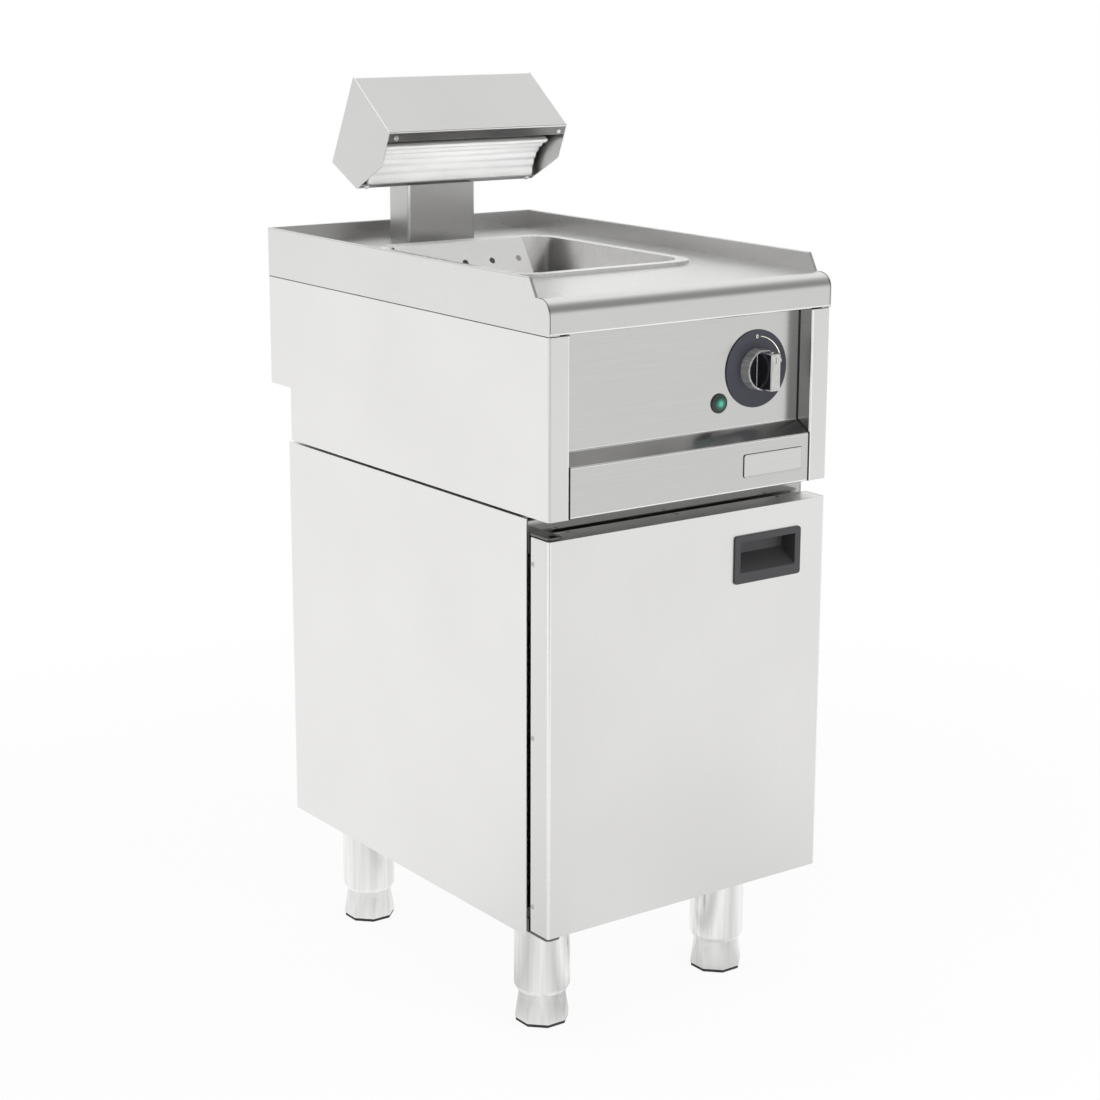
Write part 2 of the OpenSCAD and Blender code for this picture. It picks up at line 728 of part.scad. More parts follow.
// Ceramic emitter: a hollow trough face with rounded ribs along its length
rib_h = 1.6;
rib_steps = 6;
function trough(s) = emitter_sag * (1 - pow(2 * s / emitter_w, 2));
function ribbed(s) = trough(s)
  - rib_h * abs(sin(180 * emitter_ribs * (s / emitter_w + 0.5)));
function on_emitter(s, v) = emitter_mid + emitter_dir * s + left(emitter_dir) * v;
face_steps = emitter_ribs * rib_steps;
module emitter() color(ceramic) {
  face = [for (k = [0:face_steps]) let (s = emitter_w * (k / face_steps - 0.5))
    on_emitter(s, ribbed(s))];
  back = [for (k = [face_steps:-4:0]) let (s = emitter_w * (k / face_steps - 0.5))
    on_emitter(s, trough(s) + emitter_t)];
  mouth_run(emitter_l) polygon(concat(face, back));
  mouth_run(neck_l) translate([neck_u - neck_w / 2, emitter_mid[1] + emitter_sag + 4])
    square([neck_w, reflector_v + 5 - emitter_mid[1] - emitter_sag - 4]);
}

// Spring frame round the emitter's neck, on the back of the reflector
module emitter_clip() color(steel) difference() {
  mouth_run(neck_l + 12) translate([neck_u - neck_w / 2 - 5, reflector_v])
    square([neck_w + 10, 3]);
  mouth_run(neck_l + 2 * fine) translate([neck_u - neck_w / 2 - fine, reflector_v - 1])
    square([neck_w + 2 * fine, 5]);
}

module lamp_terminals() color([0.90, 0.90, 0.86])
  translate([column_x + 40, front + hood_base[0], hood_base[1]]) rotate([heel_a, 0, 0])
    translate([0, 12, hood_t]) difference() {
      cube([34, 18, 14]);
      for (k = [0:2]) translate([6 + k * 11, 9, 6]) cylinder(d = 5, h = 9);
    }

screw_d = 7;
module lip_screw(x, u, dir, side) {
  p = u;
  translate([x, front + brow_p[0], brow_p[1]]) rotate([mouth_a, 0, 0])
    translate([0, p[0], p[1]]) rotate([atan2(dir[1], dir[0]), 0, 0])
      rotate([side * 180, 0, 0]) cylinder(d1 = screw_d, d2 = screw_d - 2, h = 2.2);
}

module hood_screws() color(bright)
  for (x = [-1, 1]) {
    lip_screw(x * (hood_w / 2 - 12), brow_dir * (brow_lip - 5), brow_dir, 1);
    lip_screw(x * (hood_w / 2 - 12), base_m + base_dir * (base_lip - 5), base_dir, 0);
  }

// Cabinet
cab_flange = 20;
corner_h = 34;
hem_in = 12;
module cabinet_side() {
  hem = 2 * panel_t;
  upright(cabinet_z0, cabinet_z1) {
    translate([-half, cabinet_setback + panel_t])
      square([panel_t, cabinet_back_y - cabinet_setback - panel_t]);
    translate([-half, cabinet_setback + panel_t]) square([hem, hem_in - panel_t]);
    translate([-half + panel_t, cabinet_setback + panel_t]) circle(panel_t);
  }
  for (z = [cabinet_z0, cabinet_z1 - panel_t])
    block(-half, -half + cab_flange, cabinet_setback + hem_in - panel_t, cabinet_back_y,
      z, z + panel_t);
  block(-half + panel_t, -half + corner_w, cabinet_setback, cabinet_setback + panel_t,
    cabinet_z0, cabinet_z0 + corner_h);
}

module cabinet_left_side() color(steel) cabinet_side();
module cabinet_right_side() color(steel) mirror([1, 0, 0]) cabinet_side();

module cabinet_back() color(steel) {
  block(-half + panel_t, half - panel_t, cabinet_back_y - panel_t, cabinet_back_y,
    cabinet_z0 + panel_t, cabinet_z1 - panel_t);
}

floor_lip = 24;
module cabinet_floor() color(steel) difference() {
  x = half - corner_w - fine;
  lip = bent([[cabinet_setback + hem_in + fine, panel_t], [cabinet_setback, panel_t],
    [cabinet_setback, floor_lip]], [0, bend_r, 0]);
  union() {
    block(-half + panel_t, half - panel_t, cabinet_setback + hem_in + fine,
      cabinet_back_y - panel_t, cabinet_z0 + panel_t, cabinet_z0 + 2 * panel_t);
    translate([0, 0, cabinet_z0]) across(2 * x) polygon(strip(lip, -panel_t));
  }
  at_legs() translate([0, 0, cabinet_z0 - 1]) cylinder(d = bolt_d + 0.4, h = 6);
}

rear_rail_h = 22;
top_rail_d = 28;
top_rail_fold = 14;
module top_rail(d0, dir, h, w) {
  path = bent([[d0 + dir * top_rail_d, rail_z], [d0, rail_z], [d0, rail_z - h],
    [d0 + dir * top_rail_fold, rail_z - h]], [0, bend_r, bend_r, 0]);
  across(w) polygon(strip(path, dir * panel_t));
}

module lintel() color(dark)
  top_rail(cabinet_setback, 1, lintel_h, width - 4 * panel_t - 2 * fine);
module rear_rail() color(dark)
  top_rail(cabinet_back_y - panel_t, -1, rear_rail_h, width - 2 * panel_t);

spacer_d = 10;
spacer_x = half - 37;
module spacers() color(bright)
  for (x = [-spacer_x, 0, spacer_x])
    for (d = [cabinet_setback + top_rail_d / 2, cabinet_back_y - panel_t - top_rail_d / 2])
      translate([x, front + d, rail_z])
        cylinder(d = spacer_d, h = body_z + panel_t - rail_z);

// Hinge brackets with their pins
bracket_t = 2.5;
bracket_w = 20;
bracket_r = 6;
bracket_nose = 7;
bracket_gap = 0.8;
washer_t = 2;
pin_grip = 14;
pin_head = 1.5;
module hinge_plate(z0) {
  d0 = pin_y - bracket_nose;
  w = bracket_w;
  l = cabinet_setback - d0;
  translate([pin_side - pin_x + 2 + w / 2, front + d0 + l / 2, z0]) linear_extrude(bracket_t)
    rounded_rect(w, l, bracket_r);
}

module hinge_foot(z0, z1) {
  block(pin_side - pin_x + 2, -half + corner_w, cabinet_setback - bracket_t, cabinet_setback,
    z0, z1);
}

module hinge_top() color(bright) {
  z0 = door_z1 + bracket_gap;
  hinge_plate(z0);
  hinge_foot(lintel_z0 + 2, z0 + bracket_t);
  translate([pin_side, front + pin_y, door_z1 - pin_grip])
    cylinder(d = pin_d, h = pin_grip + bracket_gap + bracket_t);
  translate([pin_side, front + pin_y, z0 + bracket_t])
    cylinder(d1 = pin_d + 2, d2 = pin_d - 2, h = pin_head);
}

module hinge_bottom() color(bright) {
  z0 = door_z0 - fine - washer_t - bracket_t;
  hinge_plate(z0);
  hinge_foot(z0, cabinet_z0 + 21);
  translate([pin_side, front + pin_y, z0])
    cylinder(d = pin_d, h = pin_grip + fine + washer_t + bracket_t);
  translate([pin_side, front + pin_y, z0 + bracket_t]) cylinder(d = pin_d + 5, h = washer_t);
}

catch_x = half - 60;
catch_w = 40;
strike_t = 1.2;
module door_catch() color([0.85, 0.85, 0.82]) {
  z1 = lintel_z0;
  block(catch_x - catch_w / 2, catch_x + catch_w / 2, door_t + strike_t + fine, cabinet_setback + 13,
    z1 - 14, z1);
}

module at_legs() {
  for (x = [-1, 1]) for (d = [leg_front, leg_back])
    translate([x * (half - leg_x), front + d, 0]) children();
}

bolt_d = 10;
leg_cap = 6;
module leg_bolts() color(bright) at_legs() {
  translate([0, 0, cabinet_z0 + 2 * panel_t]) cylinder(d = 19, h = 6.4, $fn = 6);
  translate([0, 0, cabinet_z0 - leg_cap - 4]) cylinder(d = bolt_d, h = 2 * panel_t + leg_cap + 5);
}

// Door
door_flange = 12;
cup_w = handle_w - 11;
cup_h = handle_h - 11;
handle_cx = door_half - handle_x - handle_w / 2;
handle_cz = door_z1 - handle_z - handle_h / 2;
module door_skin() color(bright) {
  path = bent([[-door_half + door_flange, door_t], [-door_half, door_t], [-door_half, 0],
    [door_half, 0], [door_half, door_t], [door_half - door_flange, door_t]],
    [0, bend_r, door_r, door_r, bend_r, 0]);
  difference() {
    union() {
      upright(door_z0, door_z1) polygon(strip(path, panel_t));
      for (z = [door_z0, door_z1 - panel_t])
        block(-door_half + 2, door_half - 2, panel_t / 2, door_t, z, z + panel_t);
    }
    plate_back(handle_cx, -1, 5, handle_cz, cup_w + 0.6, cup_h + 0.6, 2);
    for (z = [door_z0 - 1, door_z1 - 4])
      translate([pin_side, front + pin_y, z]) cylinder(d = pin_d + 2 * running, h = 5);
  }
}

// Liner that closes the door's back, with flanges riveted inside the skin
liner_gap = 0.2;
liner_rim = 12;
module door_liner() color(steel) {
  x = door_half - panel_t - liner_gap;
  z0 = door_z0 + panel_t + liner_gap;
  z1 = door_z1 - panel_t - liner_gap;
  back = door_t - panel_t;
  path = bent([[-x, back - liner_rim], [-x, back], [x, back], [x, back - liner_rim]],
    [0, bend_r, bend_r, 0]);
  upright(z0, z1) polygon(strip(path, -panel_t));
  for (z = [z0, z1 - panel_t])
    block(-door_half + 2 * pin_x, x - bend_r, back - liner_rim, back, z, z + panel_t);
}

bezel_proud = 2;
bezel_lip = 8;
module door_handle() color(black) difference() {
  union() {
    plate_back(handle_cx, -bezel_proud, 0, handle_cz, handle_w, handle_h, 4);
    plate_back(handle_cx, -0.5, cup_depth, handle_cz, cup_w, cup_h, 2);
  }
  across(handle_w - 2 * bezel_lip, handle_cx) polygon([
    [-bezel_proud - 1, handle_cz - handle_h / 2 + 15],
    [cup_depth - 2, handle_cz - 2],
    [cup_depth - 2, handle_cz + cup_h / 2 - 2],
    [3, handle_cz + cup_h / 2 - 2],
    [3, handle_cz + handle_h / 2 - bezel_lip],
    [-bezel_proud - 1, handle_cz + handle_h / 2 - bezel_lip]]);
}

rivet_d = 6;
rivet_in = 30;
rivet_y = door_t - 5;
module rivet() cylinder(d1 = rivet_d, d2 = rivet_d - 2.5, h = 0.45);
module door_rivets() color(bright) {
  mid_z = (door_z0 + door_z1) / 2;
  for (z = [door_z0 + rivet_in, mid_z, door_z1 - rivet_in]) for (s = [-1, 1])
    translate([s * door_half, front + rivet_y, z]) rotate([0, s * 90, 0]) rivet();
  for (x = [-door_half + 1.6 * rivet_in, 0, door_half - 1.6 * rivet_in]) {
    translate([x, front + rivet_y, door_z1]) rivet();
    translate([x, front + rivet_y, door_z0]) rotate([180, 0, 0]) rivet();
  }
}

module catch_strike() color(bright)
  block(catch_x - catch_w / 2, catch_x + catch_w / 2, door_t - panel_t, door_t + strike_t,
    lintel_z0 - 13, lintel_z0 - 1);

// Legs
foot_clear = 0.4;
sleeve_r = leg_d / 2 - leg_wall - foot_clear;
sleeve_in = 55;
module leg_tube(x, d) color(steel) {
  r = leg_d / 2;
  taper = 7;
  translate([x * (half - leg_x), front + d, 0]) rotate_extrude() polygon([
    [r - leg_wall, leg_z], [r - leg_wall + 0.6, leg_z], [r - 1, leg_z + taper * 0.7],
    [r, leg_z + taper], [r, cabinet_z0 + panel_t], [bolt_d / 2 + 0.1, cabinet_z0 + panel_t],
    [bolt_d / 2 + 0.1, cabinet_z0 - leg_cap], [r - leg_wall, cabinet_z0 - leg_cap]]);
}

module leg_front_left() leg_tube(-1, leg_front);
module leg_front_right() leg_tube(1, leg_front);
module leg_back_left() leg_tube(-1, leg_back);
module leg_back_right() leg_tube(1, leg_back);

// Foot: a round sleeve in the leg tube that flares to an eight-sided base
collar = 7;
base_r = leg_d / 2 - 0.6;
module foot(x, d) color(steel) translate([x * (half - leg_x), front + d, 0]) {
  difference() {
    translate([0, 0, leg_z - collar]) cylinder(r = sleeve_r, h = sleeve_in + collar);
    translate([0, 0, leg_z]) cylinder(r = sleeve_r - 3, h = sleeve_in + 1);
  }
  hull() {
    translate([0, 0, leg_z - collar - 0.01]) cylinder(r = sleeve_r, h = 0.02, $fn = 32);
    translate([0, 0, pad_t]) rotate(22.5) cylinder(r = base_r, h = 4, $fn = 8);
  }
}

module foot_front_left() foot(-1, leg_front);
module foot_front_right() foot(1, leg_front);
module foot_back_left() foot(-1, leg_back);
module foot_back_right() foot(1, leg_back);

module pad(x, d) color(black) translate([x * (half - leg_x), front + d, 0])
  rotate(22.5) cylinder(r = base_r - 0.8, h = pad_t, $fn = 8);

module pad_front_left() pad(-1, leg_front);
module pad_front_right() pad(1, leg_front);
module pad_back_left() pad(-1, leg_back);
module pad_back_right() pad(1, leg_back);

worktop();
pan();
drain_plate();
left_side_panel();
right_side_panel();
rear_panel();
base_panel();
fascia();
badge_plate();
dial_disc();
knob();
spindle();
regulator();
pilot_bezel();
pilot_lens();
pilot_lamp();
terminal_block();
cable_gland();
column();
column_screws();
hood_shell();
hood_left_end();
hood_right_end();
reflector();
emitter();
emitter_clip();
lamp_terminals();
hood_screws();
cabinet_left_side();
cabinet_right_side();
cabinet_back();
cabinet_floor();
lintel();
rear_rail();
spacers();
hinge_top();
hinge_bottom();
door_catch();
leg_bolts();
door_skin();
door_liner();
door_handle();
door_rivets();
catch_strike();
leg_front_left();
leg_front_right();
leg_back_left();
leg_back_right();
foot_front_left();
foot_front_right();
foot_back_left();
foot_back_right();
pad_front_left();
pad_front_right();
pad_back_left();
pad_back_right();
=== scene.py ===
import json
import math
import bmesh
import bpy
from mathutils import Matrix, Vector


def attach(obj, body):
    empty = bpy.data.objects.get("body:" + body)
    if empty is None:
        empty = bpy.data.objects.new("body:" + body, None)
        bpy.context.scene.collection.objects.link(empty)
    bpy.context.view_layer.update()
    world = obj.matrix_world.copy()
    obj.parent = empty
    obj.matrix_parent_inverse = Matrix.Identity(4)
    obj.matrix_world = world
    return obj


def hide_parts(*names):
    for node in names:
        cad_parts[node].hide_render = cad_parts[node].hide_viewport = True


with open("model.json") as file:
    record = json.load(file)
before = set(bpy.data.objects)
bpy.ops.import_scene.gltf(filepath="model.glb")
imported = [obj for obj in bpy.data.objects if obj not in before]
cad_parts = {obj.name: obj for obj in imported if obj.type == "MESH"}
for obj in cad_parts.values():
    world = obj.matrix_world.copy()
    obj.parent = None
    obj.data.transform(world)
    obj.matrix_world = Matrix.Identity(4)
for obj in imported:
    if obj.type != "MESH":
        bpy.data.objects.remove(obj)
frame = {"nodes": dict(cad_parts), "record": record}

print("frame loaded:", len(frame["nodes"]), "nodes")
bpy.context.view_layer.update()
bodyOf = {node: body for body, members in frame["record"]["behaviour"]["bodies"].items() for node in members}
mm = 0.001
tiny = 1e-6                                     # what counts as no distance at all
frontY = -0.2935                                # the plane of the door, the rail and the skirt
corners = ("back_left", "back_right", "front_left", "front_right")
sides = (("left", -1), ("right", 1))

# The camera stands front left of the scuttle, a little above the worktop
cameraView = {
    "place": (-1.65058, -2.30980, 1.22585),
    "right": (0.80087, -0.59880, 0.00706),
    "up": (0.12954, 0.18473, 0.97421),
    "back": (-0.58466, -0.77930, 0.22551),
    "lens": 77.86,
    "sensor": 36,
    "shift": (-0.0409, -0.0409),
    "clip": (0.05, 60),
}


def addCamera():
    data = bpy.data.cameras.new("view")
    data.lens = cameraView["lens"]
    data.sensor_width = cameraView["sensor"]
    data.shift_x, data.shift_y = cameraView["shift"]
    data.clip_start, data.clip_end = cameraView["clip"]
    camera = bpy.data.objects.new("view", data)
    bpy.context.scene.collection.objects.link(camera)
    turned = Matrix((cameraView["right"], cameraView["up"], cameraView["back"])).transposed()
    camera.matrix_world = Matrix.Translation(cameraView["place"]) @ turned.to_4x4()
    bpy.context.scene.camera = camera


addCamera()
bpy.context.scene.view_settings.view_transform = "Standard"
print("camera placed")


# Steps that every piece uses
def deselectAll():
    if bpy.context.object and bpy.context.object.mode != "OBJECT":
        bpy.ops.object.mode_set(mode="OBJECT")
    bpy.ops.object.select_all(action="DESELECT")


def makeActive(piece):
    deselectAll()
    piece.select_set(True)
    bpy.context.view_layer.objects.active = piece


def editMesh(piece, kind="FACE"):
    makeActive(piece)
    bpy.ops.object.mode_set(mode="EDIT")
    bpy.ops.mesh.select_mode(type=kind)
    bpy.ops.mesh.select_all(action="DESELECT")


def leaveEdit():
    bpy.ops.object.mode_set(mode="OBJECT")


def pickFaces(piece, test):
    # test gets a face's middle and normal; what it passes is selected
    mesh = bmesh.from_edit_mesh(piece.data)
    for face in mesh.faces:
        face.select_set(bool(test(face.calc_center_median(), face.normal)))
    bmesh.update_edit_mesh(piece.data)


def pickEdges(piece, test):
    # test gets an edge's two ends
    mesh = bmesh.from_edit_mesh(piece.data)
    for edge in mesh.edges:
        edge.select_set(bool(test(edge.verts[0].co, edge.verts[1].co)))
    bmesh.update_edit_mesh(piece.data)


def looksFront(middle, normal):
    return normal.y < -0.9


def looksBack(middle, normal):
    return normal.y > 0.9


def drawIn(thickness, deeper):
    # the picked faces shrink by thickness and go back by deeper, or forward where that is negative
    bpy.ops.mesh.inset(thickness=thickness)
    bpy.ops.mesh.extrude_region_move(TRANSFORM_OT_translate={"value": (0, deeper, 0)})


def placeMesh(name):
    # the primitive just added gets its name, and its place goes into its mesh
    piece = bpy.context.object
    piece.name = piece.data.name = name
    bpy.ops.object.transform_apply(location=True, rotation=True, scale=True)
    return piece


def addCube(name, low, high):
    deselectAll()
    bpy.ops.mesh.primitive_cube_add(size=1, location=[(a + b) / 2 for a, b in zip(low, high)])
    bpy.context.object.scale = [b - a for a, b in zip(low, high)]
    return placeMesh(name)


def addRound(name, radius, fromY, toY, at, facets):
    # a round bar along the depth, seen from the front at (x, z)
    deselectAll()
    middle = (at[0], (fromY + toY) / 2, at[1])
    bpy.ops.mesh.primitive_cylinder_add(vertices=facets, radius=radius, depth=abs(toY - fromY),
                                        location=middle, rotation=(math.pi / 2, 0, 0))
    return placeMesh(name)


def roundCorners(piece, radius, segments, nearerThan=math.inf):
    # bevels the edges that run from front to back and start nearer than the given y
    def runsBack(a, b):
        return abs(a.z - b.z) < tiny and abs(a.x - b.x) < tiny and min(a.y, b.y) < nearerThan

    editMesh(piece, "EDGE")
    pickEdges(piece, runsBack)
    bpy.ops.mesh.bevel(offset=radius, segments=segments, affect="EDGES")
    leaveEdit()


def roundEdges(piece, width, segments=3, angle=30, finish=-1):
    makeActive(piece)
    bevel = piece.modifiers.new("edges", "BEVEL")
    bevel.width = width
    bevel.segments = segments
    bevel.limit_method = "ANGLE"
    bevel.angle_limit = math.radians(angle)
    bevel.material = finish                     # -1 keeps the finish of the faces beside the edge
    bpy.ops.object.modifier_apply(modifier=bevel.name)


def smooth(piece, angle=40):
    makeActive(piece)
    bpy.ops.object.shade_smooth_by_angle(angle=math.radians(angle))
    weighted = piece.modifiers.new("flatFaces", "WEIGHTED_NORMAL")
    weighted.keep_sharp = True
    weighted.weight = 100                       # the large flat faces lead
    bpy.ops.object.modifier_apply(modifier=weighted.name)


def finishPiece(piece, body, finishNames, nodes=()):
    for name in finishNames:
        piece.data.materials.append(finishes[name])
    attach(piece, body)
    if nodes:
        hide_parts(*nodes)


# Steps that every material uses. A value is either a number or colour, or another node's output
def feed(tree, socket, value):
    if isinstance(value, bpy.types.NodeSocket):
        tree.links.new(value, socket)
    else:
        socket.default_value = value


def addNode(tree, kind, values=None, **settings):
    node = tree.nodes.new("ShaderNode" + kind)
    for name, setting in settings.items():
        setattr(node, name, setting)
    for name, value in (values or {}).items():
        feed(tree, node.inputs[name], value)
    return node


def addMath(tree, operation, *values):
    return addNode(tree, "Math", dict(enumerate(values)), operation=operation).outputs[0]


def addRange(tree, value, come, go, curve="SMOOTHSTEP"):
    # what runs through come, from its first to its second value, runs through go
    values = {"Value": value, "From Min": come[0], "From Max": come[1], "To Min": go[0], "To Max": go[1]}
    return addNode(tree, "MapRange", values, interpolation_type=curve).outputs["Result"]


def addMix(tree, factor, first, second, kind="RGBA", blend="MIX"):
    values = {"Factor": factor, "A": first, "B": second}
    return addNode(tree, "Mix", values, data_type=kind, blend_type=blend).outputs["Result"]


def addShaderMix(tree, factor, first, second):
    return addNode(tree, "MixShader", {0: factor, 1: first.outputs[0], 2: second.outputs[0]})


def addRamp(tree, value, stops):
    # stops are pairs of a place from 0 to 1 and a colour
    ramp = addNode(tree, "ValToRGB", {0: value})
    elements = ramp.color_ramp.elements
    while len(elements) < len(stops):
        elements.new(0.5)
    for element, (place, colour) in zip(elements, stops):
        element.position = place
        element.color = (*colour, 1)
    return ramp.outputs["Color"]


def startMaterial(name):
    material = bpy.data.materials.new(name)
    material.use_nodes = True
    tree = material.node_tree
    return material, tree, tree.nodes["Principled BSDF"].inputs


white = (1, 1, 1, 1)

# A pale floor. To the eye it goes over into the white background, and near the legs it keeps the shadow
floorLook = {
    "size": 30,
    "colour": (0.86, 0.86, 0.86, 1),
    "rough": 0.9,
    "specular": 0.1,
    "whiteNear": 0.92,                          # how much of it is plain white to the eye, near the legs
    "fade": (0.6, 1.8),
    # how light polished legs find the floor round them, by the angle about the middle of the footprint
    "bands": [(-180, 0.85), (-156, 0.66), (-126, 1.0), (-104, 0.62), (-86, 1.0), (-62, 0.74), (-40, 1.0),
              (0, 0.95), (60, 0.95), (128, 1.0), (160, 0.92), (180, 0.85)],
    "bandsFade": (0.7, 1.2),
    # the floor is darker some metres off at the front left, which the corners of the panel show
    "patchAt": (-1.75, -2.8, 0),
    "patchFade": (0.9, 2.0),
    "patchTone": 0.40,
}


def addFloor():
    deselectAll()
    bpy.ops.mesh.primitive_plane_add(size=floorLook["size"], location=(0, 0, 0))
    floor = bpy.context.object
    floor.name = "floor"
    material, tree, shader = startMaterial("paleFloor")
    shader["Base Color"].default_value = floorLook["colour"]
    shader["Roughness"].default_value = floorLook["rough"]
    shader["Specular IOR Level"].default_value = floorLook["specular"]
    place = addNode(tree, "TexCoord").outputs["Object"]
    ray = addNode(tree, "LightPath").outputs
    apart = addNode(tree, "SeparateXYZ", {0: place}).outputs
    away = addNode(tree, "VectorMath", {0: place}, operation="LENGTH").outputs["Value"]
    toPatch = {0: place, 1: floorLook["patchAt"]}
    fromPatch = addNode(tree, "VectorMath", toPatch, operation="DISTANCE").outputs["Value"]

    # what metal sees of it
    angle = addMath(tree, "ARCTAN2", apart["Y"], apart["X"])
    turn = addRange(tree, angle, (-math.pi, math.pi), (0, 1), "LINEAR")
    stops = [((at + 180) / 360, (light, light, light)) for at, light in floorLook["bands"]]
    bands = addRamp(tree, turn, stops)
    banded = addMix(tree, addRange(tree, away, floorLook["bandsFade"], (0, 1)), bands, white)
    patch = addRange(tree, fromPatch, floorLook["patchFade"], (floorLook["patchTone"], 1))
    forMetal = addMix(tree, 1.0, banded, patch, blend="MULTIPLY")

    bright = addNode(tree, "Emission", {"Color": addMix(tree, ray["Is Glossy Ray"], white, forMetal)})
    seen = addMath(tree, "MAXIMUM", ray["Is Camera Ray"], ray["Is Glossy Ray"])
    fade = addRange(tree, away, floorLook["fade"], (floorLook["whiteNear"], 1))
    share = addMath(tree, "MULTIPLY", seen, fade)
    mix = addShaderMix(tree, share, tree.nodes["Principled BSDF"], bright)
    feed(tree, tree.nodes["Material Output"].inputs["Surface"], mix.outputs[0])
    floor.data.materials.append(material)


# The sky is white to the eye. Polished steel shows a darker room in it, above the eye line in front,
# and a darker strip low on the left. The pairs are spans of the direction's x, y or z
skyLook = {
    "forLight": 0.70,
    "bright": 0.98,
    "room": 0.36, "roomInFront": (-0.45, 0.12), "roomAbove": (0.0, 0.30),
    "leftRoom": 0.42, "toLeft": (-0.50, -0.20), "stripRise": (0.03, 0.14), "stripFall": (0.30, 0.50),
}


def addSky():
    world = bpy.data.worlds.new("studio")
    bpy.context.scene.world = world
    world.use_nodes = True
    tree = world.node_tree
    tree.nodes.clear()
    ray = addNode(tree, "LightPath").outputs
    apart = addNode(tree, "SeparateXYZ", {0: addNode(tree, "TexCoord").outputs["Generated"]}).outputs
    inFront = addRange(tree, apart["Y"], skyLook["roomInFront"], (1, 0))
    above = addRange(tree, apart["Z"], skyLook["roomAbove"], (0, 1))
    inRoom = addMath(tree, "MULTIPLY", inFront, above)
    room = addRange(tree, inRoom, (0, 1), (skyLook["bright"], skyLook["room"]), "LINEAR")
    rise = addRange(tree, apart["Z"], skyLook["stripRise"], (0, 1))
    fall = addRange(tree, apart["Z"], skyLook["stripFall"], (1, 0))
    toLeft = addRange(tree, apart["X"], skyLook["toLeft"], (1, 0))
    inStrip = addMath(tree, "MULTIPLY", addMath(tree, "MULTIPLY", rise, fall), toLeft)
    strip = addRange(tree, inStrip, (0, 1), (1, skyLook["leftRoom"]), "LINEAR")
    forLight = addNode(tree, "Background", {"Color": white, "Strength": skyLook["forLight"]})
    forMetal = addNode(tree, "Background", {"Color": addMath(tree, "MULTIPLY", room, strip)})
    forEye = addNode(tree, "Background", {"Color": white})
    metalMix = addShaderMix(tree, ray["Is Glossy Ray"], forLight, forMetal)
    eyeRays = addMath(tree, "MAXIMUM", ray["Is Camera Ray"], ray["Is Transmission Ray"])
    eyeMix = addShaderMix(tree, eyeRays, metalMix, forEye)
    addNode(tree, "OutputWorld", {"Surface": eyeMix.outputs[0]})


# The lamps: above, from the left, low in front, and a small one for the emitter under the hood
softboxes = [
    {"at": (-0.5, -0.2, 3.4), "aim": (0, 0, 0.8), "size": (2.6, 2.0), "power": 20, "spread": 180},
    {"at": (-2.6, -1.6, 1.9), "aim": (0, 0, 0.6), "size": (1.6, 2.2), "power": 10, "spread": 180},
    {"at": (0.5, -1.9, 0.35), "aim": (0, 0.15, 0.98), "size": (1.4, 0.7), "power": 26, "spread": 180},
    {"at": (-0.1, -0.75, 0.78), "aim": (0, 0.18, 0.985), "size": (0.3, 0.12), "power": 0.30, "spread": 40},
]


def addSoftbox(name, box):
    data = bpy.data.lights.new(name, "AREA")
    data.shape = "RECTANGLE"
    data.size, data.size_y = box["size"]
    data.energy = box["power"]
    data.spread = math.radians(box["spread"])
    light = bpy.data.objects.new(name, data)
    light.visible_glossy = False                # steel shows the room, not the lamps
    bpy.context.scene.collection.objects.link(light)
    light.location = box["at"]
    aim = Vector(box["aim"]) - Vector(box["at"])
    light.rotation_mode = "QUATERNION"
    light.rotation_quaternion = aim.to_track_quat("-Z", "Y")


addFloor()
addSky()
for number, box in enumerate(softboxes):
    addSoftbox("softbox%d" % number, box)
print("studio lit")

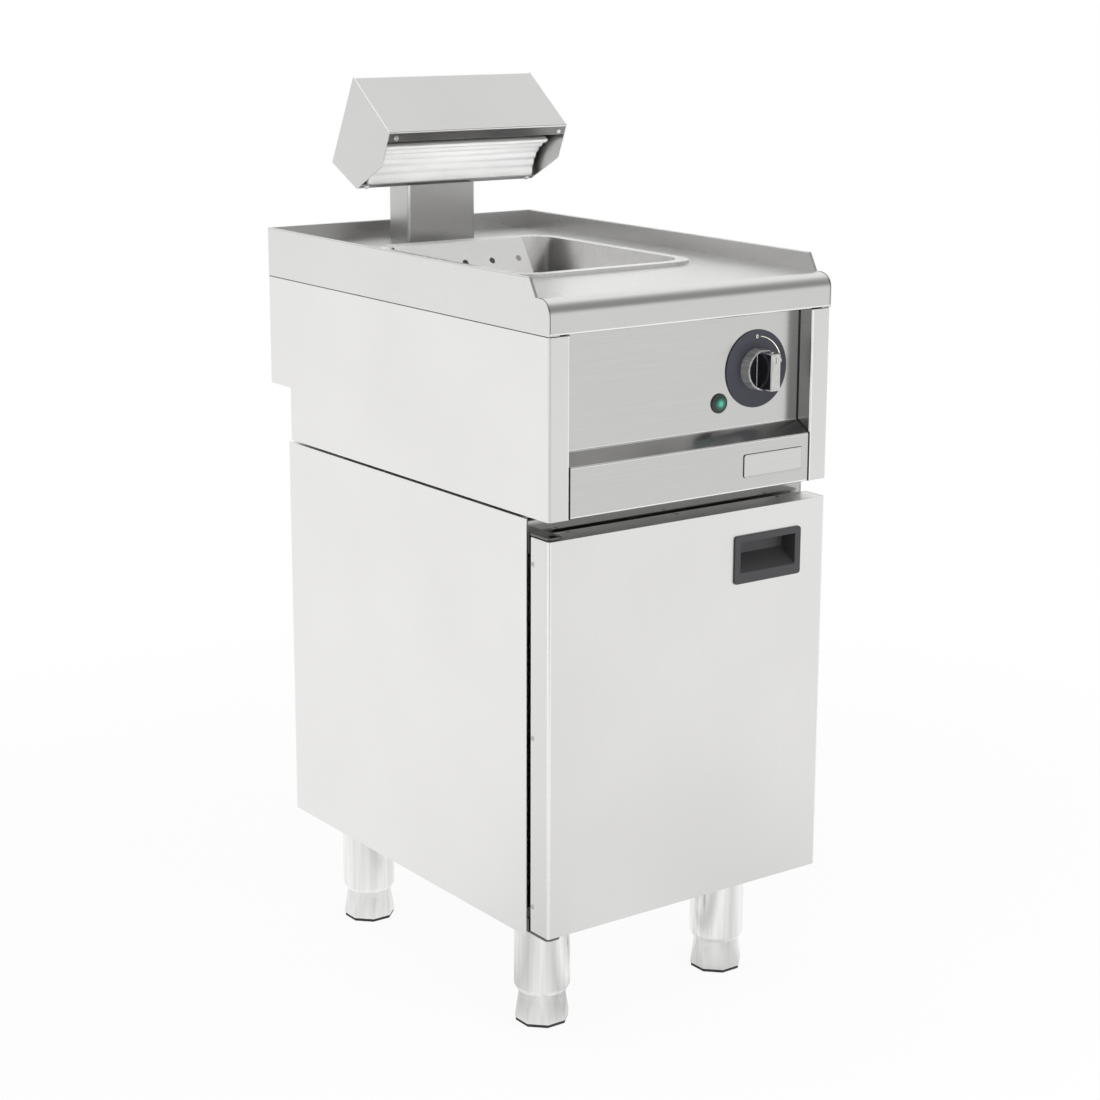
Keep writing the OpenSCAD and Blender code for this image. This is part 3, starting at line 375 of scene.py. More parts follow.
# Steel finishes. Grain is how often the brushing repeats along x, y and z, in cycles a metre, and
# sideGrain the same on faces that look left or right. Front is the share of their lightness that
# faces to the front or back keep: painted shade that darkens these faces
steelLooks = {
    "worktopSteel": {"colour": 0.76, "rough": 0.28, "streak": 0.02, "bump": 0.015, "front": 0.83,
                     "grain": (8, 1300, 1300), "sideGrain": (1300, 8, 1300)},
    "panelSteel": {"colour": 0.88, "rough": 0.40, "streak": 0.012, "bump": 0.02, "front": 0.86,
                   "grain": (9, 1100, 1100), "sideGrain": (1100, 9, 1100)},
    "doorSteel": {"colour": 0.81, "rough": 0.40, "streak": 0.012, "bump": 0.02, "grain": (1100, 1100, 9)},
    "fasciaSteel": {"colour": 0.58, "rough": 0.20, "streak": 0.035, "bump": 0.05,
                    "grain": (7, 1200, 1200), "sideGrain": (1200, 7, 1200)},
    "hoodSteel": {"colour": 0.68, "rough": 0.30, "streak": 0.012, "bump": 0.008,
                  "grain": (9, 1300, 1300), "sideGrain": (1300, 1300, 9)},
    "panSteel": {"colour": 0.88, "rough": 0.28, "streak": 0.04, "bump": 0.03, "grain": (40, 40, 40),
                 "metal": 0.95},
    "plateSteel": {"colour": 0.97, "rough": 0.42, "streak": 0.03, "bump": 0.03, "grain": (1200, 40, 40),
                   "metal": 0.25},
    "legSteel": {"colour": 0.87, "rough": 0.14, "streak": 0.13, "bump": 0.01, "grain": (70, 70, 2)},
    "footSteel": {"colour": 0.79, "rough": 0.20, "streak": 0.09, "bump": 0.01, "grain": (70, 70, 5)},
    # dark: painted shade on the hinges
    "shadedHingeSteel": {"colour": 0.17, "rough": 0.30, "streak": 0.05, "bump": 0.03, "grain": (300, 300, 300)},
    # darker steel: painted shade on the base panel, the lintel and the rear rail
    "shadedInnerSteel": {"colour": 0.46, "rough": 0.14, "streak": 0.05, "bump": 0.05,
                   "grain": (8, 900, 900), "sideGrain": (900, 8, 900)},
    "brightSteel": {"colour": 0.80, "rough": 0.18, "streak": 0.05, "bump": 0.03, "grain": (200, 200, 200)},
    "badgeSteel": {"colour": 0.66, "rough": 0.30, "streak": 0.08, "bump": 0.06,
                   "grain": (9, 1400, 1400), "sideGrain": (1400, 9, 1400)},
    "reflectorSteel": {"colour": 0.40, "rough": 0.20, "streak": 0.05, "bump": 0.03,
                       "grain": (8, 900, 900), "sideGrain": (900, 8, 900)},
    # painted shade: the darker lips of the hood
    "paintedLipShade": {"colour": 0.27, "rough": 0.25, "streak": 0.03, "bump": 0.02,
                 "grain": (9, 900, 900), "sideGrain": (900, 9, 900)},
    # painted shade: the darker inside of the posts
    "paintedPostShade": {"colour": 0.42, "rough": 0.24, "streak": 0.02, "bump": 0.02, "grain": (900, 900, 9)},
    "columnSteel": {"colour": 0.56, "rough": 0.30, "streak": 0.03, "bump": 0.04, "front": 0.85,
                    "grain": (1300, 1300, 9)},
    # darker than the door: painted shade that makes the rivets show
    "shadedRivetSteel": {"colour": 0.50, "rough": 0.25, "streak": 0.05, "bump": 0.03, "grain": (200, 200, 200)},
    # the strong streaks round the collar are partly brushing, partly painted highlight strips
    "collarGrainAndSheen": {"colour": 0.50, "rough": 0.16, "streak": 0.55, "bump": 0.02, "grain": (120, 6, 120),
                     "metal": 0.6},
    # brighter bends and narrow edges: partly polish, partly a painted highlight
    "foldPolishAndHighlight": {"colour": 0.94, "rough": 0.24, "streak": 0.03, "bump": 0.02, "grain": (90, 90, 90)},
    "capSteel": {"colour": 0.58, "rough": 0.20, "streak": 0.16, "bump": 0.03, "grain": (420, 420, 70)},
    "knobChrome": {"colour": 0.80, "rough": 0.09, "streak": 0.03, "bump": 0.02, "grain": (300, 300, 300)},
}
# What all steels share. Twist hides the even grid of the noise, which otherwise shows as faint rings
brushing = {
    "detail": 3.0, "fineness": 0.6, "twist": 1.5, "span": (0.25, 0.75),
    "lightest": 0.99, "tint": (1.0, 0.995, 0.985, 1),
    "sideFrom": 0.75, "frontShadeSpan": (0.75, 0.95),
    "cloud": 6.0, "cloudDetail": 3.0, "cloudSpan": (0.3, 0.7), "cloudRough": (-0.03, 0.04),
    "bumpHeight": 0.3 * mm,
}


def addSteel(name, look):
    material, tree, shader = startMaterial(name)
    shader["Metallic"].default_value = look.get("metal", 1.0)
    coords = addNode(tree, "TexCoord").outputs
    facing = addNode(tree, "SeparateXYZ", {0: coords["Normal"]}).outputs
    onSide = addMath(tree, "GREATER_THAN", addMath(tree, "ABSOLUTE", facing["X"]), brushing["sideFrom"])
    onFront = addMath(tree, "ABSOLUTE", facing["Y"])
    along = {"Vector": coords["Object"], "Scale": look["grain"]}
    aside = {"Vector": coords["Object"], "Scale": look.get("sideGrain", look["grain"])}
    way = addMix(tree, onSide, addNode(tree, "Mapping", along).outputs[0],
                 addNode(tree, "Mapping", aside).outputs[0], "VECTOR")
    noise = {"Vector": way, "Scale": 1.0, "Detail": brushing["detail"], "Roughness": brushing["fineness"],
             "Distortion": brushing["twist"]}
    grain = addNode(tree, "TexNoise", noise).outputs["Fac"]
    mottle = {"Vector": coords["Object"], "Scale": brushing["cloud"], "Detail": brushing["cloudDetail"]}
    cloud = addNode(tree, "TexNoise", mottle).outputs["Fac"]

    dark = look["colour"] * (1 - look["streak"])
    light = min(brushing["lightest"], look["colour"] * (1 + look["streak"]))
    tone = addRange(tree, grain, brushing["span"], (dark, light), "LINEAR")
    # painted shade: faces that look front or back keep only the look's front share of their lightness
    front = addRange(tree, onFront, brushing["frontShadeSpan"], (1, look.get("front", 1.0)))
    shade = addMath(tree, "MULTIPLY", tone, front)
    feed(tree, shader["Base Color"], addMix(tree, 1.0, brushing["tint"], shade, blend="MULTIPLY"))
    roughSpan = [look["rough"] + change for change in brushing["cloudRough"]]
    feed(tree, shader["Roughness"], addRange(tree, cloud, brushing["cloudSpan"], roughSpan, "LINEAR"))
    bump = {"Strength": look["bump"], "Distance": brushing["bumpHeight"], "Height": grain}
    feed(tree, shader["Normal"], addNode(tree, "Bump", bump).outputs["Normal"])
    return material


# Mouldings and coatings: speck is a fine mottle, in cycles a metre
plainLooks = {
    "handlePlastic": {"colour": (0.036, 0.036, 0.038), "rough": 0.46, "speck": 1400, "bump": 0.2,
                      "specular": 0.3},
    "bezelPlastic": {"colour": (0.020, 0.020, 0.022), "rough": 0.25, "speck": 500, "bump": 0.03},
    "knobBlack": {"colour": (0.008, 0.008, 0.012), "rough": 0.12, "speck": 500, "bump": 0.01},
    "dialPlastic": {"colour": (0.034, 0.035, 0.043), "rough": 0.38, "speck": 900, "bump": 0.04,
                    "specular": 0.12},
    # a painted highlight line beside the knob's grip
    "stripHighlight": {"colour": (0.42, 0.38, 0.30), "rough": 0.30, "speck": 500, "bump": 0.02},
    "dialPrint": {"colour": (0.78, 0.76, 0.62), "rough": 0.45, "speck": 900, "bump": 0.02},
    "terminalPlastic": {"colour": (0.78, 0.77, 0.70), "rough": 0.45, "speck": 300, "bump": 0.05},
    "regulatorPlastic": {"colour": (0.62, 0.60, 0.53), "rough": 0.50, "speck": 300, "bump": 0.05},
    "ceramicGlaze": {"colour": (0.93, 0.93, 0.92), "rough": 0.20, "speck": 160, "bump": 0.04},
    "padRubber": {"colour": (0.030, 0.030, 0.030), "rough": 0.75, "speck": 700, "bump": 0.3},
    # black for the knob's pointer and the dark joints, and painted shadow in gaps
    "blackMarksAndShade": {"colour": (0.012, 0.012, 0.012), "rough": 0.55, "speck": 900, "bump": 0.1},
}
moulding = {"detail": 3.0, "cloud": 18.0, "cloudShade": (0.92, 1.05), "speckRough": (-0.06, 0.08),
            "bumpHeight": 0.3 * mm}


def addMoulded(name, look):
    material, tree, shader = startMaterial(name)
    shader["Specular IOR Level"].default_value = look.get("specular", 0.5)
    place = addNode(tree, "TexCoord").outputs["Object"]
    fine = {"Vector": place, "Scale": look["speck"], "Detail": moulding["detail"]}
    speck = addNode(tree, "TexNoise", fine).outputs["Fac"]
    cloud = addNode(tree, "TexNoise", {"Vector": place, "Scale": moulding["cloud"]}).outputs["Fac"]
    shade = addRange(tree, cloud, (0, 1), moulding["cloudShade"], "LINEAR")
    feed(tree, shader["Base Color"], addMix(tree, 1.0, (*look["colour"], 1), shade, blend="MULTIPLY"))
    roughSpan = [look["rough"] + change for change in moulding["speckRough"]]
    feed(tree, shader["Roughness"], addRange(tree, speck, (0, 1), roughSpan, "LINEAR"))
    bump = {"Strength": look["bump"], "Distance": moulding["bumpHeight"], "Height": speck}
    feed(tree, shader["Normal"], addNode(tree, "Bump", bump).outputs["Normal"])
    return material


# The lens of the pilot lamp: rings, each a distance from its middle and a colour, over fine round grooves
lensLook = {
    "middle": (0.053, 0.731),
    "reach": 8.0 * mm,
    "rings": [(0.0, (0.12, 0.46, 0.32)), (0.9 * mm, (0.03, 0.28, 0.18)), (3.4 * mm, (0.016, 0.23, 0.15)),
              (4.2 * mm, (0.003, 0.045, 0.028)), (4.8 * mm, (0.010, 0.12, 0.078)),
              (6.0 * mm, (0.002, 0.035, 0.022))],
    "grooves": 5200, "grooveBump": 0.25, "grooveHeight": 0.2 * mm,
    "rough": 0.2, "coat": 0.3, "coatRough": 0.08,
}


def addLensGreen():
    material, tree, shader = startMaterial("lensGreen")
    shader["Roughness"].default_value = lensLook["rough"]
    shader["Coat Weight"].default_value = lensLook["coat"]
    shader["Coat Roughness"].default_value = lensLook["coatRough"]
    x, z = lensLook["middle"]
    place = addNode(tree, "TexCoord").outputs["Object"]
    centred = {"Vector": place, "Location": (-x, 0, -z), "Scale": (1, 0, 1)}
    fromMiddle = {0: addNode(tree, "Mapping", centred).outputs[0]}
    away = addNode(tree, "VectorMath", fromMiddle, operation="LENGTH").outputs["Value"]
    rings = [(ring / lensLook["reach"], colour) for ring, colour in lensLook["rings"]]
    feed(tree, shader["Base Color"], addRamp(tree, addMath(tree, "DIVIDE", away, lensLook["reach"]), rings))
    wave = addMath(tree, "SINE", addMath(tree, "MULTIPLY", away, lensLook["grooves"]))
    bump = {"Strength": lensLook["grooveBump"], "Distance": lensLook["grooveHeight"], "Height": wave}
    feed(tree, shader["Normal"], addNode(tree, "Bump", bump).outputs["Normal"])
    return material


finishes = {name: addSteel(name, look) for name, look in steelLooks.items()}
finishes.update({name: addMoulded(name, look) for name, look in plainLooks.items()})
finishes["lensGreen"] = addLensGreen()
print("finishes mixed:", len(finishes))

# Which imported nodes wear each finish
wornBy = {
    "worktopSteel": ["worktop"],
    "panSteel": ["pan"],
    "plateSteel": ["drain_plate"],
    "panelSteel": ["left_side_panel", "right_side_panel", "rear_panel", "cabinet_left_side",
                   "cabinet_right_side", "cabinet_back", "cabinet_floor", "door_liner"],
    "shadedInnerSteel": ["base_panel", "lintel", "rear_rail"],
    "fasciaSteel": ["fascia"],
    "badgeSteel": ["badge_plate"],
    "hoodSteel": ["hood_shell", "hood_left_end", "hood_right_end"],
    "reflectorSteel": ["reflector"],
    "columnSteel": ["column"],
    "doorSteel": ["door_skin"],
    "shadedHingeSteel": ["hinge_top", "hinge_bottom"],
    "shadedRivetSteel": ["door_rivets"],
    "brightSteel": ["spindle", "column_screws", "emitter_clip", "hood_screws", "spacers", "leg_bolts",
                    "catch_strike"],
    "knobChrome": ["knob"],
    "dialPlastic": ["dial_disc"],
    "regulatorPlastic": ["regulator"],
    "bezelPlastic": ["pilot_bezel", "cable_gland"],
    "lensGreen": ["pilot_lens"],
    "terminalPlastic": ["pilot_lamp", "terminal_block", "lamp_terminals", "door_catch"],
    "ceramicGlaze": ["emitter"],
    "handlePlastic": ["door_handle"],
    "legSteel": ["leg_" + corner for corner in corners],
    "footSteel": ["foot_" + corner for corner in corners],
    "padRubber": ["pad_" + corner for corner in corners],
}
for finish, names in wornBy.items():
    for name in names:
        frame["nodes"][name].data.materials.clear()
        frame["nodes"][name].data.materials.append(finishes[finish])
print("nodes dressed:", sum(len(names) for names in wornBy.values()))

# Pieces whose edges and folds show: each is a copy of its solid with its edges softened. The values are
# the width of the softened edge in mm and the angle up to which the piece is shaded smooth
softened = {
    "worktop": (0.30, 34), "pan": (0.35, 40), "drain_plate": (0.25, 35),
    "left_side_panel": (0.30, 34), "right_side_panel": (0.30, 34), "fascia": (0.30, 34),
    "column": (0.40, 34), "hood_shell": (0.30, 34), "hood_left_end": (0.35, 34), "hood_right_end": (0.35, 34),
    "cabinet_left_side": (0.35, 34), "cabinet_right_side": (0.35, 34), "door_skin": (0.40, 34),
    "lintel": (0.30, 34), "hinge_top": (0.30, 34), "hinge_bottom": (0.30, 34),
    "emitter": (0.0, 60), "rear_panel": (0.30, 34), "cable_gland": (0.4, 34), "pilot_bezel": (0.25, 40),
    "dial_disc": (0.35, 40), "pilot_lens": (0.0, 50), "hood_screws": (0.2, 40), "door_rivets": (0.0, 40),
}
for part, width in (("foot_", 0.6), ("leg_", 0.5), ("pad_", 0.5)):
    for corner in corners:
        softened[part + corner] = (width, 34)
# points nearer than merge are made one, faces that turn less than flat are joined, and an edge is
# softened where its faces turn more than edgeFrom
softening = {"merge": 0.005 * mm, "flat": 0.4, "edgeFrom": 28, "segments": 3}

# These are folded sheet, whose narrow edges and bends are a little brighter: partly polish, partly a painted
# highlight
foldedSheets = ["worktop", "pan", "left_side_panel", "right_side_panel", "fascia", "column", "hood_shell",
                "hood_left_end", "hood_right_end", "cabinet_left_side", "cabinet_right_side", "door_skin",
                "rear_panel"]
folds = {"narrow": 1.5 * mm, "turn": 6}

# Faces that turn away from the light get painted shade, a darker steel: the lips of the hood and the inside
# of the posts
postInside = {"x": 0.172, "reach": 0.4 * mm}


def isLip(middle, normal):
    return normal.y < -0.4 and normal.z < -0.3


def isPostInside(middle, normal, side):
    return normal.x * side < -0.9 and abs(middle.x * side - postInside["x"]) < postInside["reach"]


shadedFaces = {
    "hood_shell": ("paintedLipShade", isLip),
    "right_side_panel": ("paintedPostShade", lambda middle, normal: isPostInside(middle, normal, 1)),
    "left_side_panel": ("paintedPostShade", lambda middle, normal: isPostInside(middle, normal, -1)),
}

# The corners of the pan's rim turn in a wider arc than in the solid
panRim = {"middle": (0.0, 0.021), "half": (0.1325, 0.1625), "cornerWas": 18 * mm, "corner": 40 * mm,
          "low": 0.8709, "width": 1.5 * mm}


def roundRim(piece):
    was, now = panRim["cornerWas"], panRim["corner"]
    (middleX, middleY), (halfX, halfY) = panRim["middle"], panRim["half"]
    for point in piece.data.vertices:
        x, y = point.co.x - middleX, point.co.y - middleY
        inX, inY = abs(x) - (halfX - was), abs(y) - (halfY - was)
        reach = math.hypot(inX, inY)
        isCorner = inX > -tiny and inY > -tiny and reach > was - panRim["width"]
        if isCorner and point.co.z > panRim["low"]:
            grown = (reach + now - was) / reach
            point.co.x = middleX + math.copysign(halfX - now + inX * grown, x)
            point.co.y = middleY + math.copysign(halfY - now + inY * grown, y)


def polishAndHighlightFolds(piece):
    # bends and cut edges: narrow faces that turn away from what lies beside their long edge
    mesh = bmesh.new()
    mesh.from_mesh(piece.data)
    for face in mesh.faces:
        longest = max(face.edges, key=lambda edge: edge.calc_length())
        isNarrow = face.calc_area() < folds["narrow"] * longest.calc_length()
        if isNarrow and longest.calc_face_angle(0) > math.radians(folds["turn"]):
            face.material_index = 1
    mesh.to_mesh(piece.data)
    mesh.free()


def shadeFaces(piece, finish, test):
    piece.data.materials.append(finishes[finish])
    last = len(piece.data.materials) - 1
    for face in piece.data.polygons:
        if test(face.center, face.normal):
            face.material_index = last


def softenNode(name, width, angle):
    makeActive(frame["nodes"][name])
    bpy.ops.object.duplicate()
    piece = bpy.context.object
    for key in list(piece.keys()):
        del piece[key]
    piece.parent = None
    piece.matrix_world = Matrix.Identity(4)
    piece.name = piece.data.name = name + "_finished"
    editMesh(piece)
    bpy.ops.mesh.select_all(action="SELECT")
    bpy.ops.mesh.remove_doubles(threshold=softening["merge"])
    bpy.ops.mesh.dissolve_limited(angle_limit=math.radians(softening["flat"]))
    leaveEdit()
    if name == "pan":
        roundRim(piece)
    edgeFinish = -1
    # the bends take the brighter finish: partly polish, partly a painted highlight
    if name in foldedSheets:
        piece.data.materials.append(finishes["foldPolishAndHighlight"])
        polishAndHighlightFolds(piece)
        edgeFinish = 1
    if name in shadedFaces:
        shadeFaces(piece, *shadedFaces[name])
    if width:
        roundEdges(piece, width * mm, softening["segments"], softening["edgeFrom"], edgeFinish)
    smooth(piece, angle)
    finishPiece(piece, bodyOf[name], [], [name])


for name, edge in softened.items():
    softenNode(name, *edge)
print("edges softened:", len(softened))

# Control knob: a chrome collar round a black face, and a grip bar with a chrome cap
knob = {
    "at": (0.107, 0.766), "back": -0.2733, "front": -0.3065,
    "radius": 24.5 * mm, "facets": 96, "collarFront": -0.2863, "collarTaper": 0.945, "collarWall": 2.1 * mm,
    "collarEdge": 0.9 * mm, "faceDepth": 4.5 * mm, "faceRing": 0.6 * mm, "faceRise": 0.8 * mm,
    "faceInset": 0.2 * mm, "faceBehind": 1.0 * mm,
    "gripWidth": 14.5 * mm, "gripHeight": 44.0 * mm, "gripCorner": 2.2 * mm, "gripEdge": 0.3 * mm,
    "capTaper": (0.97, 1, 0.975), "capEdge": 0.9 * mm, "capRise": 0.6 * mm, "endReach": 1.6 * mm,
    "pointerHalf": 0.6 * mm, "pointerFrom": 12.5 * mm, "pointerTo": 4.5 * mm, "pointerDeep": 0.5 * mm,
    "pointerEdge": 0.2 * mm, "pointerRise": 0.05 * mm,
    "stripHalf": 0.45 * mm, "stripOut": 0.5 * mm, "stripReach": 18.0 * mm, "stripFront": 1.2 * mm,
    "stripBack": 0.4 * mm, "stripEdge": 0.3 * mm,
}


def addCollar():
    x, z = knob["at"]
    collar = addRound("knob_collar", knob["radius"], knob["back"], knob["collarFront"], (x, z),
                      knob["facets"])
    editMesh(collar)
    pickFaces(collar, looksFront)
    bpy.ops.transform.resize(value=(knob["collarTaper"], 1, knob["collarTaper"]))
    drawIn(knob["collarWall"], knob["faceDepth"])
    drawIn(knob["faceRing"], -knob["faceRise"])
    leaveEdit()
    roundEdges(collar, knob["collarEdge"], 5)
    smooth(collar)
    finishPiece(collar, "knob", ["collarGrainAndSheen", "knobBlack"], ["knob"])
    # the face inside the wall is black
    faceRadius = knob["radius"] * knob["collarTaper"] - knob["collarWall"] - knob["faceInset"]
    faceFront = knob["collarFront"] + knob["faceBehind"]
    for face in collar.data.polygons:
        out = math.hypot(face.center.x - x, face.center.z - z)
        face.material_index = int(out < faceRadius and face.center.y > faceFront)


def addGrip():
    x, z = knob["at"]
    half, tall = knob["gripWidth"] / 2, knob["gripHeight"] / 2
    root = knob["collarFront"] + knob["faceDepth"]
    grip = addCube("knob_grip", (x - half, knob["front"] + knob["capRise"], z - tall),
                   (x + half, root, z + tall))
    roundCorners(grip, knob["gripCorner"], 5)
    editMesh(grip)
    pickFaces(grip, looksFront)
    bpy.ops.transform.resize(value=knob["capTaper"])
    drawIn(knob["capEdge"], -knob["capRise"])
    leaveEdit()
    roundEdges(grip, knob["gripEdge"], 2)
    smooth(grip)
    finishPiece(grip, "knob", ["knobBlack", "capSteel", "knobChrome"])
    for face in grip.data.polygons:
        isCap = face.center.y < knob["front"] + knob["capEdge"]
        isEnd = abs(face.center.z - z) > tall - knob["endReach"]
        face.material_index = 1 if isCap else 2 if isEnd else 0


def addPointer():
    x, z = knob["at"]
    half, tall = knob["pointerHalf"], knob["gripHeight"] / 2
    low = (x - half, knob["front"] + knob["pointerRise"], z + tall - knob["pointerFrom"])
    high = (x + half, knob["front"] + knob["pointerDeep"], z + tall - knob["pointerTo"])
    pointer = addCube("knob_pointer", low, high)
    editMesh(pointer)
    pickFaces(pointer, looksFront)
    drawIn(knob["pointerEdge"], -knob["pointerRise"])
    leaveEdit()
    finishPiece(pointer, "knob", ["blackMarksAndShade"])


def addHighlightStrip(name, side):
    # bright: a painted highlight where one side of the grip meets the black face
    x, z = knob["at"]
    middle = x + side * (knob["gripWidth"] / 2 + knob["stripOut"])
    root = knob["collarFront"] + knob["faceDepth"]
    low = (middle - knob["stripHalf"], root - knob["stripFront"], z - knob["stripReach"])
    high = (middle + knob["stripHalf"], root + knob["stripBack"], z + knob["stripReach"])
    strip = addCube(name, low, high)
    roundEdges(strip, knob["stripEdge"])
    smooth(strip, 50)
    finishPiece(strip, "knob", ["stripHighlight"])


addCollar()
addGrip()
addPointer()
for name, side in sides:
    addHighlightStrip("knob_highlight_strip_" + name, side)
print("knob made")

# Print on the dial: the zero, the growing heat wedge and its last figure, at angles from the top
dial = {
    "at": knob["at"], "face": -0.2730, "proud": 0.1 * mm,
    "figures": [("dial_zero", "0", 0), ("dial_last", "6", 80)],
    "figureRadius": 36.8 * mm, "figureSize": 6.2 * mm,
    "wedgeRadius": 37.2 * mm, "wedgeFrom": 9, "wedgeTo": 66, "wedgeSteps": 24,
    "wedgeThin": 0.22 * mm, "wedgeWide": 0.55 * mm,
}


def addDialFigure(name, text, angle):
    deselectAll()
    (x, z), radius = dial["at"], dial["figureRadius"]
    turn = math.radians(angle)
    place = (x + radius * math.sin(turn), dial["face"], z + radius * math.cos(turn))
    bpy.ops.object.text_add(location=place, rotation=(math.pi / 2, 0, 0))
    figure = bpy.context.object
    figure.name = name
    figure.data.body = text
    figure.data.size = dial["figureSize"]
    figure.data.extrude = dial["proud"]
    figure.data.align_x, figure.data.align_y = "CENTER", "CENTER"
    bpy.ops.object.convert(target="MESH")
    bpy.ops.object.transform_apply(location=True, rotation=True, scale=True)
    finishPiece(figure, "scuttle", ["dialPrint"])


def addHeatWedge():
    x, z = dial["at"]
    thin, middle = dial["wedgeThin"], z + dial["wedgeRadius"]
    start = math.radians(dial["wedgeFrom"])
    span = math.radians(dial["wedgeTo"] - dial["wedgeFrom"])
    wedge = addCube("dial_wedge", (x - thin, dial["face"] - dial["proud"], middle - thin),
                    (x + thin, dial["face"], middle + thin))
    turned = Matrix.Translation((x, 0, z)) @ Matrix.Rotation(start, 4, "Y") @ Matrix.Translation((-x, 0, -z))
    wedge.data.transform(turned)
    side = Vector((math.cos(start), 0, -math.sin(start)))
    editMesh(wedge)
    pickFaces(wedge, lambda middle, normal: normal.dot(side) > 0.9)
    bpy.ops.mesh.spin(steps=dial["wedgeSteps"], angle=span, center=(x, dial["face"], z), axis=(0, -1, 0))
    bpy.ops.mesh.select_all(action="SELECT")
    bpy.ops.mesh.remove_doubles(threshold=tiny)
    bpy.ops.mesh.normals_make_consistent(inside=False)
    leaveEdit()
    # it widens along its turn
    for point in wedge.data.vertices:
        out = Vector((point.co.x - x, 0, point.co.z - z))
        along = (math.atan2(out.x, out.z) - start) / span
        grow = 1 + (dial["wedgeWide"] / thin - 1) * min(1, max(0, along))
        out *= (dial["wedgeRadius"] + (out.length - dial["wedgeRadius"]) * grow) / out.length
        point.co.x, point.co.z = x + out.x, z + out.z
    finishPiece(wedge, "scuttle", ["dialPrint"])


for figure in dial["figures"]:
    addDialFigure(*figure)
addHeatWedge()
print("dial printed")

# Nameplate, left bare inside its raised rim
badge = {"low": (0.0732, -0.2951, 0.6455), "high": (0.1612, -0.2935, 0.6725), "corner": 3.0 * mm,
         "rim": 1.5 * mm, "sunk": 0.5 * mm, "edge": 0.25 * mm, "shadowLine": 0.4 * mm}


def addBadge():
    plate = addCube("badge_rimmed", badge["low"], badge["high"])
    roundCorners(plate, badge["corner"], 6)
    editMesh(plate)
    pickFaces(plate, looksFront)
    drawIn(badge["rim"], badge["sunk"])
    leaveEdit()
    roundEdges(plate, badge["edge"])
    smooth(plate)
    finishPiece(plate, "scuttle", ["badgeSteel"], ["badge_plate"])


def addBadgeShadowLine():
    # dark: painted shadow, which shows as a fine line round the plate
    grown = badge["shadowLine"]
    (x0, _, z0), (x1, y1, z1) = badge["low"], badge["high"]
    shadowLine = addCube("badge_shadow_line", (x0 - grown, y1 - grown, z0 - grown), (x1 + grown, y1, z1 + grown))
    roundCorners(shadowLine, badge["corner"] + grown, 6)
    finishPiece(shadowLine, "scuttle", ["blackMarksAndShade"])


addBadge()
addBadgeShadowLine()
print("nameplate made")

# Door pull: a moulded frame round a cup whose floor slopes up to the back
pull = {
    "low": (0.0615, -0.2955, 0.5215), "high": (0.1615, -0.2695, 0.5785),
    "corner": 4.0 * mm, "flange": 2.0 * mm, "boxIn": 5.0 * mm, "edge": 0.4 * mm,
    "side": 8.5 * mm, "above": 8.0 * mm, "below": 11.0 * mm, "deep": 22.5 * mm,
    "floorRise": 19.0 * mm, "draft": 1.2 * mm, "narrowing": 0.96, "ahead": 2 * mm,
}


def addCup():
    # what is cut out of the pull: narrower at its back, where its floor is higher and its roof lower
    (x0, y0, z0), (x1, _, z1) = pull["low"], pull["high"]
    back = y0 + pull["deep"]
    cup = addCube("pull_cup", (x0 + pull["side"], y0 - pull["ahead"], z0 + pull["below"]),
                  (x1 - pull["side"], back, z1 - pull["above"]))
    editMesh(cup)
    pickFaces(cup, looksBack)
    bpy.ops.transform.resize(value=(pull["narrowing"], 1, 1))
    leaveEdit()
    for point in cup.data.vertices:
        if point.co.y > back - tiny:
            point.co.z += pull["floorRise"] if point.co.z < (z0 + z1) / 2 else -pull["draft"]
    return cup


def addPull():
    (x0, y0, z0), (x1, y1, z1) = pull["low"], pull["high"]
    piece = addCube("door_pull", (x0, y0, z0), (x1, y0 + pull["flange"], z1))
    editMesh(piece)
    # the back swells into the box that sits in the door
    pickFaces(piece, looksBack)
    drawIn(pull["boxIn"], y1 - y0 - pull["flange"])
    leaveEdit()
    roundCorners(piece, pull["corner"], 8, y0 + tiny)

    cup = addCup()
    makeActive(piece)
    cut = piece.modifiers.new("cup", "BOOLEAN")
    cut.operation = "DIFFERENCE"
    cut.solver = "EXACT"
    cut.object = cup
    bpy.ops.object.modifier_apply(modifier=cut.name)
    bpy.data.objects.remove(cup)
    roundEdges(piece, pull["edge"], 3, 40)
    smooth(piece, 45)
    finishPiece(piece, "door", ["handlePlastic"], ["door_handle"])


addPull()
print("door pull made")

# Dark joints: the seams beside the nose and the weld in the rear corner. Painted shadow: black strips
# under the worktop's skirt and a black line in the gap beside the panel
joints = {
    "shadowStripLow": 0.83105, "shadowStripHigh": 0.83195, "shadowStripThick": 1.1 * mm, "shadowStripOut": 0.1998,
    "shadowStripFrom": 3 * mm, "shadowStripBehind": 12.5 * mm, "shadowStripEdge": 0.1 * mm,
    "postOut": 0.197, "postIn": 0.1725, "postFrom": 0.2 * mm,
    "noseX": 0.1984, "noseFrom": 22 * mm, "nose": 17 * mm, "noseSteps": 10, "noseLine": 0.35 * mm,
    "top": 0.871, "skirt": 0.832, "noseEnd": 3 * mm,
    "panelX": 0.1716, "panelDeep": 22 * mm, "panelTop": 0.8312, "ledgeTop": 0.700, "ledgeLow": 0.687,
    "railLow": 0.6305, "panelLine": {"left": 0.5 * mm, "right": 1.1 * mm},
    "weldAt": (0.1983, 0.3048), "weldLow": 0.872, "weldHigh": 0.8915, "weldLine": 0.6 * mm,
}


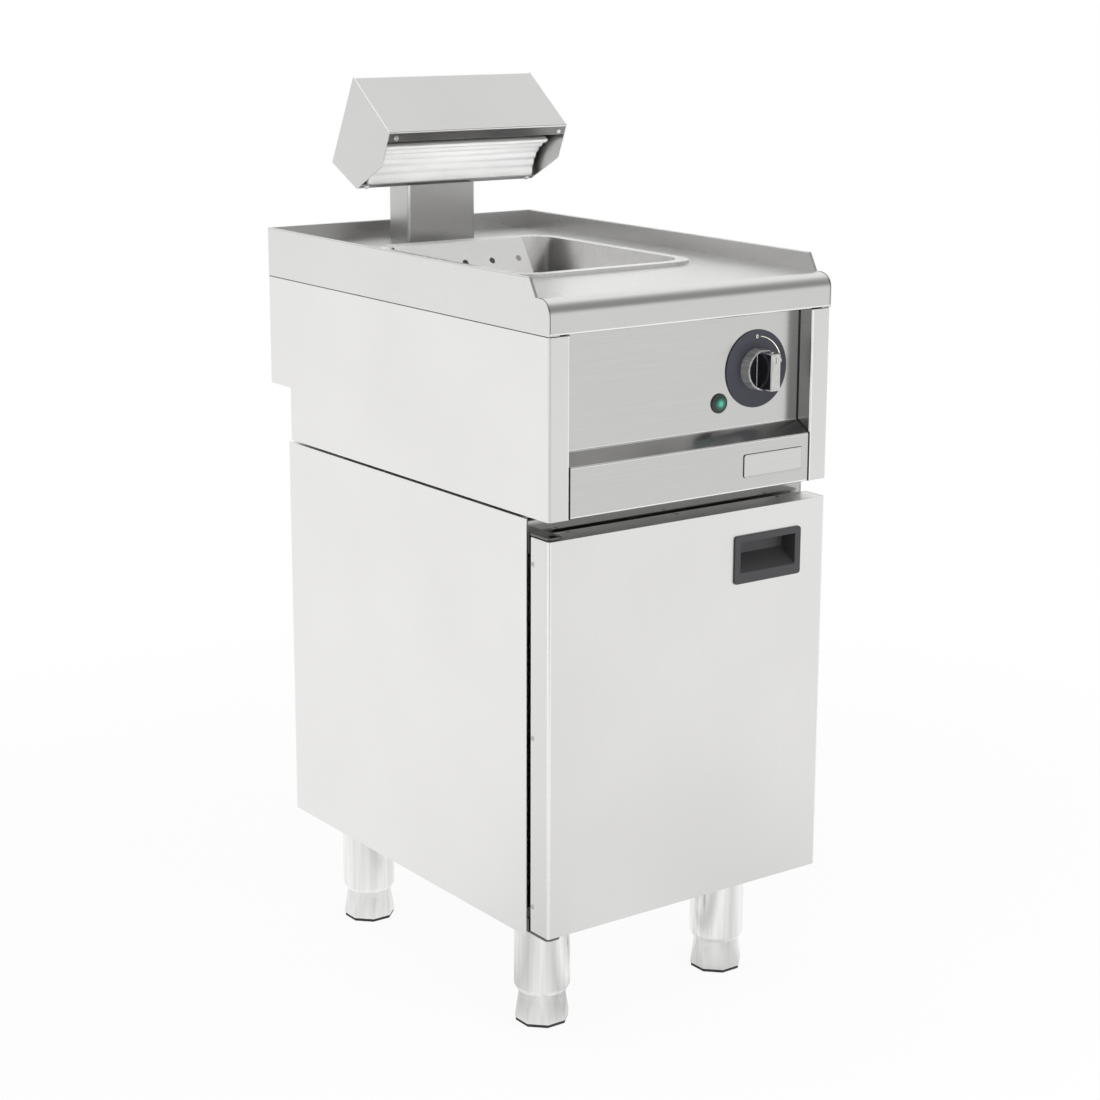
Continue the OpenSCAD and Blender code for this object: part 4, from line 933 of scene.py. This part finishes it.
def addShadowStrip(name, side, inner, outer, fromY, toY):
    # a flat strip between two distances from the middle, on the left or the right
    ends = sorted((side * inner, side * outer))
    # a black strip: painted shadow where the skirt overhangs the panels
    shadowStrip = addCube(name, (ends[0], fromY, joints["shadowStripLow"]), (ends[1], toY, joints["shadowStripHigh"]))
    editMesh(shadowStrip)
    bpy.ops.mesh.select_all(action="SELECT")
    bpy.ops.mesh.subdivide(number_cuts=1)
    leaveEdit()
    roundEdges(shadowStrip, joints["shadowStripEdge"], 1)
    finishPiece(shadowStrip, "scuttle", ["blackMarksAndShade"])


def addLine(name, path, radius):
    curve = bpy.data.curves.new(name, "CURVE")
    curve.dimensions = "3D"
    curve.bevel_depth = radius
    curve.bevel_resolution = 1
    curve.use_fill_caps = True
    line = curve.splines.new("POLY")
    line.points.add(len(path) - 1)
    for point, place in zip(line.points, path):
        point.co = (*place, 1)
    seam = bpy.data.objects.new(name, curve)
    bpy.context.scene.collection.objects.link(seam)
    makeActive(seam)
    bpy.ops.object.convert(target="MESH")
    finishPiece(bpy.context.object, "scuttle", ["blackMarksAndShade"])


def addNoseSeam(name, x):
    # from the worktop round the nose and down the skirt
    top, radius, steps = joints["top"], joints["nose"], joints["noseSteps"]
    path = [(x, frontY + joints["noseFrom"], top)]
    for step in range(steps + 1):
        angle = math.radians(90 * step / steps)
        path.append((x, frontY + radius - radius * math.sin(angle), top - radius + radius * math.cos(angle)))
    path.append((x, frontY, joints["skirt"] + joints["noseEnd"]))
    addLine(name, path, joints["noseLine"])


def addPanelShadowLine(name, x, radius):
    # down the gap beside the panel, along the end of the ledge and down beside the rail: a black line,
    # painted shadow in the gap
    deep = frontY + joints["panelDeep"]
    path = [(x, deep, joints["panelTop"]), (x, deep, joints["ledgeTop"]),
            (x, frontY, joints["ledgeLow"]), (x, frontY, joints["railLow"])]
    addLine(name, path, radius)


def addWeld():
    x, y = joints["weldAt"]
    addLine("corner_weld", [(x, y, joints["weldLow"]), (x, y, joints["weldHigh"])], joints["weldLine"])


for name, side in sides:
    out, thick = joints["shadowStripOut"], joints["shadowStripThick"]
    # black strips under the skirt and at the top of each post: painted shadow
    addShadowStrip("seal_" + name, side, out - thick, out,
            frontY + joints["shadowStripFrom"], joints["shadowStripBehind"] - frontY)
    addShadowStrip("seal_post_" + name, side, joints["postIn"], joints["postOut"],
            frontY + joints["postFrom"], frontY + thick)
    addNoseSeam("nose_seam_" + name, side * joints["noseX"])
    addPanelShadowLine("panel_shadow_line_" + name, side * joints["panelX"], joints["panelLine"][name])
addWeld()
print("joints drawn")
